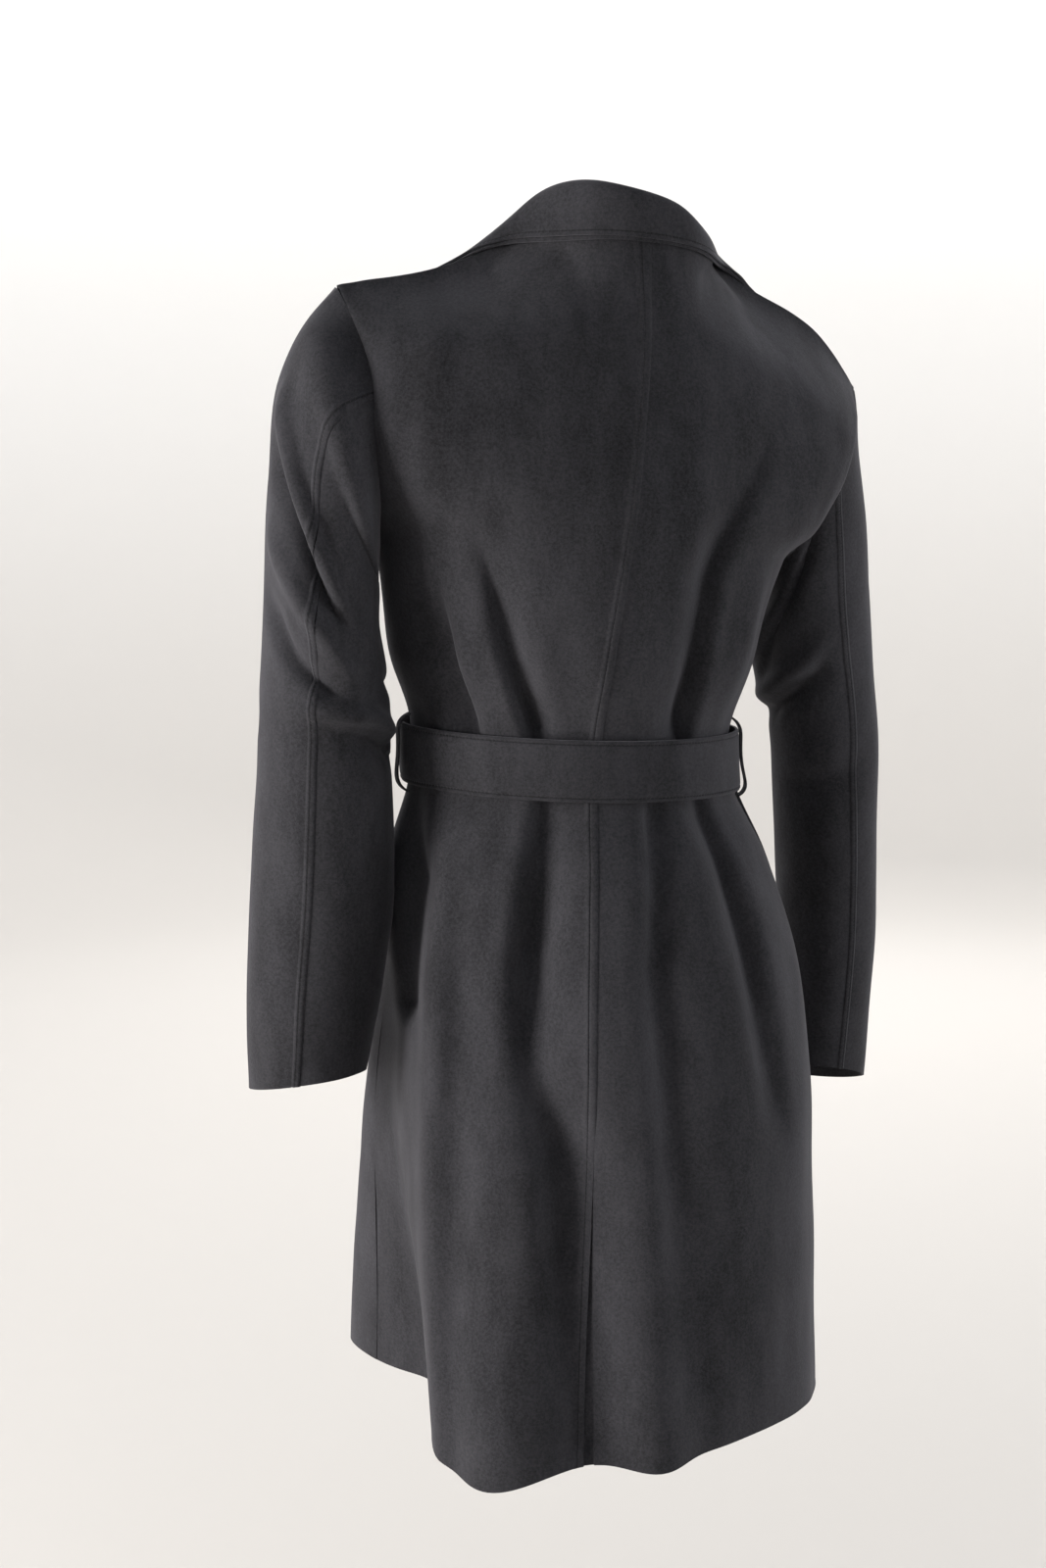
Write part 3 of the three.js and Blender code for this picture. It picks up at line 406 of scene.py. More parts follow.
def top_edge(t, front):
    """Half the neckline, a quarter of an oval, then the straight shoulder seam."""
    sine = np.sin(t)
    tip = BACK[0]
    neck_end = np.radians(NECK_END)
    turn = np.clip(t / neck_end, -1, 1) * np.pi / 2
    low_y, low_z = NECK_FRONT if front else (tip[4], 0)
    neck = np.stack([
        NECK_SIDE[0] * np.sin(turn),
        mix(NECK_SIDE[1], low_y, np.cos(turn)),
        mix(NECK_SIDE[2], low_z, np.cos(turn)),
    ], -1)
    share = (tip[1] * sine - NECK_SIDE[0]) / (tip[1] - NECK_SIDE[0])
    seam = np.stack([tip[1] * sine, mix(NECK_SIDE[1], 0, share), mix(NECK_SIDE[2], tip[3], share)], -1)
    return np.where((t < neck_end)[..., None], neck, seam)


def quarter(table, drop, t):
    """One level before folds: a quarter oval from the middle to the side edge, its height falling to the edge."""
    edge_x, edge_y, edge_z, middle_y, middle_z = np.moveaxis(read(table, drop), -1, 0)
    below = drop >= UNDERARM
    wide = np.where(below, read(BACK, drop)[..., 0], edge_x)
    sine, cosine = np.sin(t), np.cos(t)
    return np.stack([
        wide * sine,
        np.where(below, middle_y * cosine, mix(edge_y, middle_y, cosine)),
        np.where(below, -drop, mix(middle_z, edge_z, np.abs(sine) ** 1.5)),
    ], -1)


def out_of_oval(t, wide, deep, front):
    """Unit direction out of an oval at one of its points."""
    out = np.stack([np.sin(t) * deep, (-1 if front else 1) * np.cos(t) * wide, np.zeros_like(t)], -1)
    return out / np.linalg.norm(out, axis=-1, keepdims=True)


def cut(angle, drop, front, extra=0):
    """The coat's surface before it is worn: level ovals joined to the neckline and shoulder seam, with hem dips and
    folds. Angle 0 is the middle of the back, 90 the wearer's left side seam and 180 the middle of the front."""
    angle, drop = np.broadcast_arrays(np.asarray(angle, float), np.asarray(drop, float))
    t = np.radians(180 - np.abs(angle) if front else np.abs(angle))
    table = FRONT if front else BACK
    p = quarter(table, drop, t)
    shoulder = (1 - ease(drop / YOKE))[..., None]
    p = p + shoulder * (soft_top_edge(t, front, drop) - quarter(table, np.zeros_like(drop), t))
    dips = sum(dip * bell(turned(angle, at) / wide) for at, dip, wide in HEM_DIPS)
    p[..., 2] -= dips * ease((drop - HEM_DIP_FROM) / (COAT_LENGTH - HEM_DIP_FROM))
    level = read(table, drop)
    out = out_of_oval(t, level[..., 0], np.abs(level[..., 3]), front)
    p += out * (fold_height(angle, drop) + extra)[..., None]
    p[..., 0] *= np.where(angle < 0, -1, 1)
    return p


def worn(p):
    """The stance: each level shifts and turns, the shoulders tip, and their seams sag on the left and rise on the
    right."""
    x, y, z = np.moveaxis(p, -1, 0)
    drop = -z
    shift, turn = np.moveaxis(read(STANCE, drop), -1, 0)
    turn = np.radians(turn)
    share = np.clip((np.abs(x) - BOW_FROM) / (HALF_BACK - BOW_FROM), 0, 1)
    bow = np.where(x > 0, SHOULDER_SAG, -SHOULDER_RISE)
    share = np.where(x > 0, share, share ** RISE_OUTWARDS)
    sag = bow * np.sin(np.pi * share) * (1 - ease((drop - 40) / 100))
    tip = (SHOULDER_TIP[0] + SHOULDER_TIP[1] * ease(np.abs(x) / 200)) * (1 - ease((drop - 100) / 250))
    reach = np.where(x < 0, 1 + RIGHT_REACH * (1 - ease((drop - 100) / 100)), 1)
    across = x * reach
    return np.stack([
        shift + across * np.cos(turn) - y * np.sin(turn),
        across * np.sin(turn) + y * np.cos(turn),
        z + x * (tip + WAIST_TIP[0] * bell((drop - BELT_MIDDLE) / WAIST_TIP[1])) - sag,
    ], -1)


def unit(v):
    return v / np.maximum(np.linalg.norm(v, axis=-1, keepdims=True), 1e-9)


def normal_of(surface, a, b, step_a=0.6, step_b=2):
    """Direction out of a surface of two parameters, from small steps of both."""
    along_a = surface(a + step_a, b) - surface(a - step_a, b)
    along_b = surface(a, b + step_b) - surface(a, b - step_b)
    return unit(np.cross(along_a, along_b))


def grid_normals(points, closed=False):
    """Unit normals of a grid of points, from the differences of neighbours along its rows and columns."""
    down = np.gradient(points, axis=0)
    if closed:
        across = np.roll(points, -1, axis=1) - np.roll(points, 1, axis=1)
    else:
        across = np.gradient(points, axis=1)
    return unit(np.cross(across, down))


def coat(angle, drop, front, lift):
    """A place of the worn coat, lifted off its surface."""
    surface = lambda a, d: worn(cut(a, d, front))
    p = surface(angle, drop)
    return p + normal_of(surface, angle, drop) * np.asarray(lift)[..., None]


def place_on_front(x, z):
    """Angle and drop of the front at a place in front view, found by repeated correction."""
    t = np.arcsin(np.clip(x / 200, -0.95, 0.95))
    drop = np.maximum(0, -z)
    for _ in range(60):
        p = cut(180 - np.degrees(t), drop, True)
        wide = read(FRONT, drop)[..., 0]
        t = t + 0.6 * (x - p[..., 0]) / (wide * np.maximum(0.3, np.cos(t)))
        drop = np.maximum(0, drop + 0.5 * (p[..., 2] - z))
    return 180 - np.degrees(t), drop


def front_edge(drop):
    """Angle at which a front panel ends, where it meets the roll line, found by halving."""
    near = np.full(np.shape(drop), 90.0)
    far = np.full(np.shape(drop), 240.0)
    for _ in range(40):
        middle = (near + far) / 2
        p = cut(middle, drop, True)
        inside = p[..., 0] > read(ROLL, -p[..., 2])[..., 0]
        near = np.where(inside, middle, near)
        far = np.where(inside, far, middle)
    return near


def overlap_lift(x, z):
    """Height of the upper front over the lower one, nothing where they don't cross."""
    depth = -z
    lower_edge = read(ROLL, depth)[..., 0] - 2 * LAPEL_ROLL
    height = mix(OVERLAP_LIFT[0], OVERLAP_LIFT[1], ease((depth - BREAK_DROP) / 24))
    return height * ease((x - lower_edge + 62) / 50) * ease((depth - 120) / 60)


def front_surface(side, extra=None):
    """Surface of a front panel. The wearer's right front lies over the left one."""
    def place(angle, drop):
        more = 0 if extra is None else extra(angle, drop)
        p = cut(side * angle, drop, True, more)
        if side > 0:
            return worn(p)
        return coat(-angle, drop, True, overlap_lift(p[..., 0], p[..., 2]) + more)
    return place


# Meshes

def border_strip(first, last, closed):
    """Quads of the walls that join the borders of two equal grids of point numbers."""
    strips = [(first[0], last[0]), (last[-1], first[-1])]
    if not closed:
        strips += [(last[:, 0], first[:, 0]), (first[:, -1], last[:, -1])]
    quads = []
    for a, b in strips:
        if closed:
            a, b = np.append(a, a[0]), np.append(b, b[0])
        quads.append(np.stack([a[:-1], a[1:], b[1:], b[:-1]], -1))
    return np.concatenate(quads)


def grid_quads(numbers, closed):
    """Quads of a grid of point numbers."""
    if closed:
        numbers = np.concatenate([numbers, numbers[:, :1]], axis=1)
    return np.stack([numbers[:-1, :-1], numbers[1:, :-1], numbers[1:, 1:], numbers[:-1, 1:]], -1).reshape(-1, 4)


def wall(name, inner, outer, materials, closed=False, seam=None):
    """A closed wall between two grids of points in millimetres: both grids, and strips that join their borders. The
    strips take the second material, for the cut edge. seam is the distance from a stitched seam and the way along
    it, in millimetres, at each place of the grid."""
    rows, columns = inner.shape[:2]
    count = rows * columns
    low = np.arange(count).reshape(rows, columns)
    high = low + count
    faces = np.concatenate([
        grid_quads(low, closed)[:, ::-1],
        grid_quads(high, closed),
        border_strip(low, high, closed),
    ])
    points = np.concatenate([inner.reshape(-1, 3), outer.reshape(-1, 3)]) * MM
    a, b, c, d = (points[faces[:, i]] for i in range(4))
    volume = np.einsum("ij,ij->i", a, np.cross(b, c)).sum() + np.einsum("ij,ij->i", a, np.cross(c, d)).sum()
    if volume < 0:
        faces = faces[:, ::-1]
    mesh = bpy.data.meshes.new(name)
    mesh.vertices.add(len(points))
    mesh.vertices.foreach_set("co", points.astype(np.float32).ravel())
    mesh.loops.add(faces.size)
    mesh.loops.foreach_set("vertex_index", faces.astype(np.int32).ravel())
    mesh.polygons.add(len(faces))
    mesh.polygons.foreach_set("loop_start", np.arange(0, faces.size, 4, dtype=np.int32))
    mesh.polygons.foreach_set("use_smooth", np.ones(len(faces), bool))
    rim = np.zeros(len(faces), np.int32)
    rim[len(faces) - len(border_strip(low, high, closed)):] = 1
    mesh.polygons.foreach_set("material_index", rim)
    mesh.update(calc_edges=True)
    mark_sharp(mesh, count, rows, columns, closed)
    cloth_maps(mesh, inner, faces, seam)
    for material in materials:
        mesh.materials.append(material)
    mesh.validate()
    piece = bpy.data.objects.new(name, mesh)
    bpy.context.scene.collection.objects.link(piece)
    return piece


def mark_sharp(mesh, count, rows, columns, closed):
    """The edges along a wall's borders are sharp: both ends on the border of the same grid."""
    border = np.zeros((rows, columns), bool)
    border[[0, -1]] = True
    if not closed:
        border[:, [0, -1]] = True
    border = np.tile(border.ravel(), 2)
    ends = np.zeros(len(mesh.edges) * 2, np.int32)
    mesh.edges.foreach_get("vertices", ends)
    ends = ends.reshape(-1, 2)
    same = (ends[:, 0] < count) == (ends[:, 1] < count)
    mesh.edges.foreach_set("use_edge_sharp", border[ends[:, 0]] & border[ends[:, 1]] & same)


def cloth_maps(mesh, points, faces, seam):
    """A UV map in metres along the cloth, and the seam map: distance from the seam and way along it, in metres."""
    across = np.cumsum(np.linalg.norm(np.diff(points, axis=1, prepend=points[:, :1]), axis=-1), axis=1)
    down = np.cumsum(np.linalg.norm(np.diff(points, axis=0, prepend=points[:1]), axis=-1), axis=0)
    uv = np.tile(np.stack([across, down], -1).reshape(-1, 2) * MM, (2, 1))
    layer = mesh.uv_layers.new(name="cloth")
    layer.data.foreach_set("uv", uv[faces.ravel()].astype(np.float32).ravel())
    if seam is None:
        seam = np.full(points.shape[:2] + (2,), 1000.0)
    flat = np.concatenate([seam.reshape(-1, 2) * MM, np.zeros((seam.shape[0] * seam.shape[1], 1))], 1)
    mapped = mesh.attributes.new("seam_map", "FLOAT_VECTOR", "POINT")
    mapped.data.foreach_set("vector", np.tile(flat, (2, 1)).astype(np.float32).ravel())


def sew(piece, node):
    """What every piece does: it rides on the body and stands for its node, whose part it hides and whose name it
    takes.
    """
    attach(piece, "root")
    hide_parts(node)
    piece.name = cloth(node)


def cloth(node):
    """Name of the visual piece that stands for a node."""
    return node + "_cloth"


def outwards(normals, points, centre):
    """Normals turned so that on the whole they point away from a line of centres."""
    away = points - centre
    return normals * (1 if np.sum(normals * away) > 0 else -1)


# Rows and columns

def spread(start, end, step, fine=()):
    """Places from start to end about a step apart, with the fine ones put in and near doubles taken out."""
    count = max(2, int(round(abs(end - start) / step)) + 1)
    even = np.linspace(start, end, count)
    fine = np.array([f for f in fine if min(start, end) < f < max(start, end)])
    if not fine.size:
        return even
    inside = even[1:-1]
    inside = inside[np.abs(inside[:, None] - fine).min(1) > 0.3 * step]
    both = np.sort(np.concatenate([even[[0, -1]], inside, fine]))
    return both if end > start else both[::-1]


STRIP_COLUMNS = (0.5, 1.6, 3.2, 4.4, 5.0, 5.6, 6.4, 7.6, 9.5)
STRIP_WIDTH = 6
STRIP_HEIGHT = 1.3


def strip_height(distance, width=STRIP_WIDTH):
    """Raised strip along a lapped seam: level up to its width, then a short slope down, a little rounded at its
    edge, with a shallow groove where it is stitched."""
    edge = 1 - 0.5 * bell(distance / 0.6)
    groove = 0.45 * bell((distance - width + 1) / 0.7)
    return STRIP_HEIGHT * edge * (1 - ease((distance - width) / 2.5)) - groove


def body_rows():
    near_belt = [BELT_TOP - 6, BELT_TOP - 2, BELT_TOP + 2, BELT_TOP + BELT_WIDTH - 2, BELT_TOP + BELT_WIDTH + 2]
    return spread(SEAM, COAT_LENGTH, 4, [1.2, 2.4, *near_belt, COAT_LENGTH - 2.2, COAT_LENGTH - 1])


def vent_opening(drop):
    """Degrees by which the vent is open, eased from its top to the hem."""
    share = ease((drop - VENT_DROP) / (COAT_LENGTH - VENT_DROP))
    return np.degrees(VENT_GAP * share / BACK[-1][1])


def back_panel(side, materials):
    """Left or right back: the body's surface from the middle to the side seam. The left one has the lapped strip."""
    name = "back_left" if side > 0 else "back_right"
    drops = body_rows()
    wide = read(BACK, drops)[:, 0]
    distances = spread(0, 300, 4, STRIP_COLUMNS if side > 0 else (0.5, 1.5, 3))
    share = distances / distances[-1]
    start = SEAM_ANGLE + (vent_opening(drops) if side > 0 else 0 * drops)
    near = start[:, None] + np.degrees(distances[None] / wide[:, None])
    even = mix(start[:, None], 90 - SEAM_ANGLE, share[None])
    angle = mix(near, even, ease((distances[None] - 15) / 120))
    angle[:, -1] = 90 - SEAM_ANGLE
    drop = np.broadcast_to(drops[:, None], angle.shape)
    away = np.radians(angle - start[:, None]) * wide[:, None]
    extra = ripples(away * side, drop, 3 if side > 0 else 4, 0.9)
    if side > 0:
        seamed = 1 - 0.75 * ease((drop - VENT_DROP + 20) / 20)
        extra = extra * ease(away / 30) + strip_height(away) * seamed
    else:
        extra = extra * ease(away / 30)
    hem = 1 - ease((COAT_LENGTH - drop) / 3)
    extra = extra + 0.3 * hem
    points = worn(cut(side * angle, drop, False, extra))
    normals = outwards(grid_normals(points), points, points.mean((0, 1)) - np.array([0, 400, 0]))
    seam = np.stack([away, drop], -1) if side > 0 else None
    return wall(name, points, points + normals * CLOTH, materials, seam=seam)


def vent_underlap(materials):
    """The strip under the left back, from just past the middle."""
    drops = spread(VENT_DROP, COAT_LENGTH, 4)
    reach = np.degrees(VENT_WIDTH / read(BACK, drops)[:, 0])
    share = np.linspace(0, 1, 20)
    angle = mix(-VENT_TUCK, reach[:, None], share[None])
    drop = np.broadcast_to(drops[:, None], angle.shape)
    points = worn(cut(angle, drop, False))
    normals = outwards(grid_normals(points), points, points.mean((0, 1)) - np.array([0, 400, 0]))
    return wall("vent_underlap", points - normals * (LAYER + CLOTH), points - normals * LAYER, materials)


def front_panel(side, materials):
    """Left or right front: from the side seam to the roll line and the wrap's edge."""
    name = "front_left" if side > 0 else "front_right"
    drops = body_rows()
    edges = front_edge(drops)
    share = spread(0, 1, 0.0125, (0.002, 0.006, 0.994, 0.998))
    angle = mix(90 + SEAM_ANGLE, edges[:, None], share[None])
    drop = np.broadcast_to(drops[:, None], angle.shape)
    seed = 5 if side > 0 else 6
    uneven = lambda a, d: ripples(a * 2.9 * side, d, seed, 0.8) * ease((a - 92) / 10)
    points = front_surface(side, uneven)(angle, drop)
    normals = outwards(grid_normals(points), points, points.mean((0, 1)) + np.array([0, 400, 0]))
    return wall(name, points, points + normals * CLOTH, materials)


def lapel_panel(side, materials):
    """The front's edge rolled over and laid back on the front. Each row starts on the roll line, goes half round the
    roll and then runs on over the front, which it follows at a small height."""
    surface = front_surface(side)
    drops = spread(LAPEL_START, BREAK_DROP, 4)
    start = cut(front_edge(drops), drops, True)
    top, bottom = start[0, 2], start[-1, 2]
    share = (start[:, 2] - top) / (bottom - top)
    width, rise = np.moveaxis(read(LAPEL, share), -1, 0)
    rise = np.radians(rise)[:, None]
    turns = np.linspace(0, np.pi, 9)
    flat = spread(0.1, 1, 0.03, (0.985,))

    def grid(sunk):
        radius = LAPEL_ROLL - sunk
        rolled = np.broadcast_to(-SEAM - radius * np.sin(turns), (len(drops), len(turns)))
        rolled_height = np.broadcast_to(LAPEL_ROLL - radius * np.cos(turns), rolled.shape)
        reach = width[:, None] * flat[None]
        rest = mix(2 * LAPEL_ROLL, LAPEL_REST, ease(reach / 30)) - sunk
        distance = np.concatenate([rolled, reach], 1)
        height = np.concatenate([rolled_height, rest], 1)
        outer = ease((distance / width[:, None] - NOTCH[0]) / (1 - NOTCH[0]))
        notch = NOTCH[1] * outer * bell(share / NOTCH[2])[:, None]
        x = start[:, :1] + distance * np.cos(rise)
        z = start[:, 2:] + distance * np.sin(rise) - notch
        angle, drop = place_on_front(x, z)
        out = normal_of(surface, angle, drop) * side
        return surface(angle, drop) + out * height[..., None]

    return wall("lapel_left" if side > 0 else "lapel_right", grid(CLOTH), grid(0), materials)


# Sleeves

def armhole(side, angle):
    """The body's edge at the armhole, and the direction out of the body there."""
    drop = mix(SEAM, UNDERARM, np.abs(angle) / 180)
    front = angle < 0
    place = [worn(cut(np.full_like(drop, side * 90.0), drop, f)) for f in (False, True)]
    outs = [
        normal_of(lambda a, d, f=f: worn(cut(a, d, f)), np.full_like(drop, side * at), drop)
        for f, at in ((False, 84.0), (True, 96.0))
    ]
    return np.where(front[..., None], place[1], place[0]), np.where(front[..., None], outs[1], outs[0])


def sleeve_head(side, angle, first):
    """Where the sleeve starts: the armhole, moved a little down the sleeve and over the body, or under it at the
    right back, where the arm reaches forward."""
    start, out = armhole(side, angle)
    rise, fall, fade, more = TUCK
    room = np.full_like(angle, ARMHOLE_ROOM)
    over = np.full_like(angle, ARMHOLE_OVER)
    if side < 0:
        passing = bell((angle - rise - fade / 2) / 22) + bell((angle - fall - fade / 2) / 16)
        room = room + more * passing
        tucked = ease((angle - rise) / fade) * (1 - ease((angle - fall) / fade))
        over = mix(over, -CLOTH - 2 * LAYER, tucked)
    start = start + unit(first - start) * room[..., None]
    return start + out * over[..., None]


def sleeve_surface(side, rings, angles, downs):
    """Grid of a sleeve: for each angle round it a smooth curve from the armhole through all rings, which are ovals
    with their outer and inner edges in the table."""
    turn = np.radians(angles)[:, None]
    along, out_x, out_z, in_x, in_z, y, deep, rise = rings.T
    path = np.stack([
        (out_x + in_x) / 2 + (out_x - in_x) / 2 * np.cos(turn),
        y + deep * np.sin(turn),
        (out_z + in_z) / 2 + (out_z - in_z) / 2 * np.cos(turn) + rise * np.sin(turn),
    ], -1)
    wrapped = (angles + 180) % 360 - 180
    head = sleeve_head(side, wrapped, path[:, 0])
    whole = np.concatenate([head[:, None], path], 1)
    return np.swapaxes(hermite(np.append(0, along), whole, downs), 0, 1)


def sleeve_panels(side, materials):
    """Upper and under sleeve. The upper one has the raised lapped strip along the back seam."""
    rings, creases = (SLEEVE_LEFT, CREASES_LEFT) if side > 0 else (SLEEVE_RIGHT, CREASES_RIGHT)
    name = "sleeve_left" if side > 0 else "sleeve_right"
    end = rings[-1, 0]
    downs = spread(0, end, 4, [1, 2.5, end - 2.2, end - 1])
    spans = {
        "_upper": (SLEEVE_SEAM_FRONT + SEAM_TURN, SLEEVE_SEAM_BACK - SEAM_TURN),
        "_under": (SLEEVE_SEAM_BACK + SEAM_TURN, SLEEVE_SEAM_FRONT + 360 - SEAM_TURN),
    }
    made = []
    for part, (low, high) in spans.items():
        fine = [high - d for d in STRIP_COLUMNS] if part == "_upper" else ()
        angles = spread(low, high, 4, fine)
        points = sleeve_surface(side, rings, angles, downs)
        down, angle = np.meshgrid(downs, angles, indexing="ij")
        centre = np.stack([
            np.interp(downs, rings[:, 0], (rings[:, 1] + rings[:, 3]) / 2),
            np.interp(downs, rings[:, 0], rings[:, 5]),
            np.interp(downs, rings[:, 0], (rings[:, 2] + rings[:, 4]) / 2),
        ], -1)[:, None]
        normals = outwards(grid_normals(points), points, centre)
        fading = ease((down - 3) / 25)
        height = crease_height(angle, down, creases) + crease_height(angle - 360, down, creases)
        height = (height * CREASE_GAIN + ripples(angle, down, 7 + side, 0.8)) * fading
        away = high - angle
        if part == "_upper":
            height = height + strip_height(away, 4) * ease(down / 8)
        points = points + normals * height[..., None]
        normals = outwards(grid_normals(points), points, centre)
        seam = np.stack([away + 1.5, down], -1) if part == "_upper" else None
        made.append((name + part, wall(name + part, points, points + normals * CLOTH, materials, seam=seam)))
    return made


# Collar

def bend(start, by, end, t):
    """Curve from start to end that leaves towards a third point and arrives from it, with squared weights."""
    return (1 - t) ** 2 * start + 2 * t * (1 - t) * by + t ** 2 * end


def smoothed(line, width):
    """A line of points averaged with its neighbours through a bell."""
    near = np.arange(-3 * width, 3 * width + 1)
    weight = bell(near / width)
    padded = np.pad(line, ((3 * width, 3 * width), (0, 0)), mode="reflect", reflect_type="odd")
    return np.stack([np.convolve(column, weight / weight.sum(), "valid") for column in padded.T], -1)


def collar_surface(across, over):
    """Grid of the collar's middle surface. Each column is two bends: from the neck seam up to the fold, and from
    the fold down to the edge, which stands a little off the shoulder."""
    every = np.linspace(-1, 1, 401)
    lines = [smoothed(line, 12) for line in collar_lines(every)]
    start, fold, edge = (np.stack([np.interp(across, every, c) for c in line.T], -1) for line in lines)
    out = edge - start
    out[:, 2] = 0
    out = unit(out) * COLLAR_ROLL
    t = over[:, None, None]
    rising = bend(start[None], (fold - out)[None], fold[None], np.clip(2 * t, 0, 1))
    falling = bend(fold[None], (fold + out)[None], edge[None], 2 * t - 1)
    return np.where(t < 0.5, rising, falling)


def collar_lines(across):
    """The collar's neck seam, fold and outer edge."""
    side = np.where(across < 0, -1.0, 1.0)
    share = np.abs(across)
    on_neck = share <= COLLAR_NECK
    back_seam = cut(NECK_END * np.clip(share / COLLAR_NECK, 0, 1), np.zeros_like(share), False)
    gorge = np.clip((share - COLLAR_NECK) / (1 - COLLAR_NECK), 0, 1) ** 1.6 * (LAPEL_START - GORGE_ROOM)
    front_seam = cut(front_edge(gorge), gorge, True)
    seam = np.where(on_neck[:, None], back_seam, front_seam)
    inside, up = COLLAR_SET_IN
    mirror = np.stack([side, np.ones_like(side), np.ones_like(side)], -1)
    start = worn((seam * [inside, inside, 1] + [0, 0, up]) * mirror)
    fold = worn(np.where(side[:, None] > 0, read(FOLD_LEFT, share), read(FOLD_RIGHT, share)) * mirror)
    t, edge_drop = np.moveaxis(read(COLLAR_EDGE, share), -1, 0)
    height = mix(*COLLAR_LIFT, ease((share - 0.42) / 0.2))[:, None]
    front = edge_drop > 0
    landed = []
    for is_front in (False, True):
        angle = side * (180 - t if is_front else t)
        surface = lambda a, d, f=is_front: worn(cut(a, d, f))
        p = surface(angle, np.abs(edge_drop))
        lift = normal_of(surface, angle, np.abs(edge_drop)) + [0, 0, 1]
        landed.append(p + unit(lift) * height)
    return start, fold, np.where(front[:, None], landed[1], landed[0])


def collar_panels(materials):
    """The two raw-edged layers of the collar. The under layer reaches a little further than the upper one."""
    across = spread(-1, 1, 0.016, (-0.996, 0.996))
    made = []
    for name, low, high, reach in (
        ("collar_upper", COLLAR_HALF, COLLAR_HALF + COLLAR_WALL, 1.0),
        ("collar_under", -COLLAR_HALF - COLLAR_WALL, -COLLAR_HALF, 1.02),
    ):
        half = np.linspace(0, 1, 14) ** 1.3 * 0.49
        over = np.concatenate([0.01 + half, 0.5 + np.linspace(0, 1, 18) ** 1.3 * (reach - 0.5)])
        over = np.unique(np.concatenate([over, 1 - over[over < 0.5] * 0.98, [reach - 0.012, reach]]))
        over = over[over <= reach]
        points = collar_surface(across, over)
        normals = grid_normals(points)
        middle = len(across) // 2
        if normals[-6, middle, 1] < 0:
            normals = -normals
        seam = np.full(points.shape[:2] + (2,), 1000.0)
        fall = np.linalg.norm(np.diff(points, axis=0, append=points[-1:]), axis=-1)[::-1].cumsum(0)[::-1]
        seam[..., 0] = fall + 1.5
        seam[..., 1] = np.cumsum(np.linalg.norm(np.diff(points[-1], axis=0, prepend=points[-1][:1]), axis=-1))[None]
        made.append((name, wall(name, points + normals * low, points + normals * high, materials, seam=seam)))
    return made


# Belt

def belt_room(angle):
    return mix(*BELT_ROOM, ease((np.abs(turned(angle, 0)) - 50) / 40))


def waist(angle, drop, height):
    """The belt's line: the waist's oval at the belt's middle, at every drop, moved out by a height."""
    angle, drop, height = np.broadcast_arrays(*(np.asarray(v, float) for v in (angle, drop, height)))
    front = np.abs(angle) > 90
    t = np.radians(np.where(front, 180 - np.abs(angle), np.abs(angle)))
    wide = read(BACK, BELT_MIDDLE)[0]
    deep = np.where(front, abs(read(FRONT, BELT_MIDDLE)[3]), abs(read(BACK, BELT_MIDDLE)[3]))
    facing = np.where(front, -1, 1)
    out = unit(np.stack([np.sin(t) * deep, facing * np.cos(t) * wide, np.zeros_like(t)], -1))
    p = np.stack([wide * np.sin(t), facing * deep * np.cos(t), -drop], -1) + out * height[..., None]
    p[..., 0] *= np.where(angle < 0, -1, 1)
    return worn(p)


def belt_band(materials):
    """A ring round the waist, slightly crowned across, with a groove where its edges are stitched."""
    angle = np.linspace(-180, 180, 361)[:-1]
    across = spread(0, BELT_WIDTH, 2, (0.6, 1.4, 2.6, 3.2, 3.8, 5, 43, 44.2, 44.8, 45.4, 46.6, 47.4))
    drop, turn = np.meshgrid(BELT_TOP + across, angle, indexing="ij")
    middle = (drop - BELT_MIDDLE) / (BELT_WIDTH / 2)
    uneven = ripples(turn * 2.1, drop, 11, 0.5, 30, 90)
    outer_height = belt_room(turn) + BELT_WALL + 0.5 * (1 - middle ** 4) + uneven
    edge = BELT_WIDTH / 2 - np.abs(drop - BELT_MIDDLE)
    outer_height = outer_height - 0.5 * bell((edge - 3.2) / 0.8) - 0.7 * bell(edge / 0.9)
    inner = waist(turn, drop, belt_room(turn))
    outer = waist(turn, drop, outer_height)
    seam = np.stack([edge + 1.8, (turn + 180) * 2.1], -1)
    return wall("belt", inner, outer, materials, closed=True, seam=seam)


def belt_loop(side, materials):
    """A narrow strap that leaves the side seam above the belt and returns below it, flat on top in between."""
    reach = BELT_WIDTH / 2 + LOOP_REACH
    half = np.degrees(LOOP_WIDTH / 2 / BACK[9][1])
    bulge = LOOP_BULGE[0] if side > 0 else LOOP_BULGE[1]
    standing = belt_room(LOOP_ANGLE) + BELT_WALL - CLOTH - LOOP_FOOT + bulge
    t = np.sin(np.linspace(-1, 1, 49) * np.pi / 2)[:, None]
    angle = side * LOOP_ANGLE + np.linspace(-half, half, 7)[None]

    def grid(outer):
        drop = BELT_MIDDLE + t * (reach if outer else reach - LOOP_WALL) + 0 * angle
        height = (standing + (LOOP_WALL if outer else 0)) * (1 - t ** 6) + 0 * angle
        out = waist(angle, drop, 1) - waist(angle, drop, 0)
        return worn(cut(angle + 0 * drop, drop, False)) + out * (CLOTH + LOOP_FOOT + height)[..., None]

    return wall("belt_loop_left" if side > 0 else "belt_loop_right", grid(False), grid(True), materials)


def front_directions():
    """Seat of the knot on the belt, and the directions out, up and across there."""
    angle, _ = place_on_front(np.array(float(KNOT_ASIDE)), np.array(-float(BELT_MIDDLE)))
    seat = waist(-angle, BELT_MIDDLE, BELT_ROOM[1] + BELT_WALL + SEAM + KNOT[2])
    out = unit(waist(-angle, BELT_MIDDLE, 1) - waist(-angle, BELT_MIDDLE, 0))
    up = np.array([0.0, 0, 1])
    return seat, out, up, unit(np.cross(out, up))


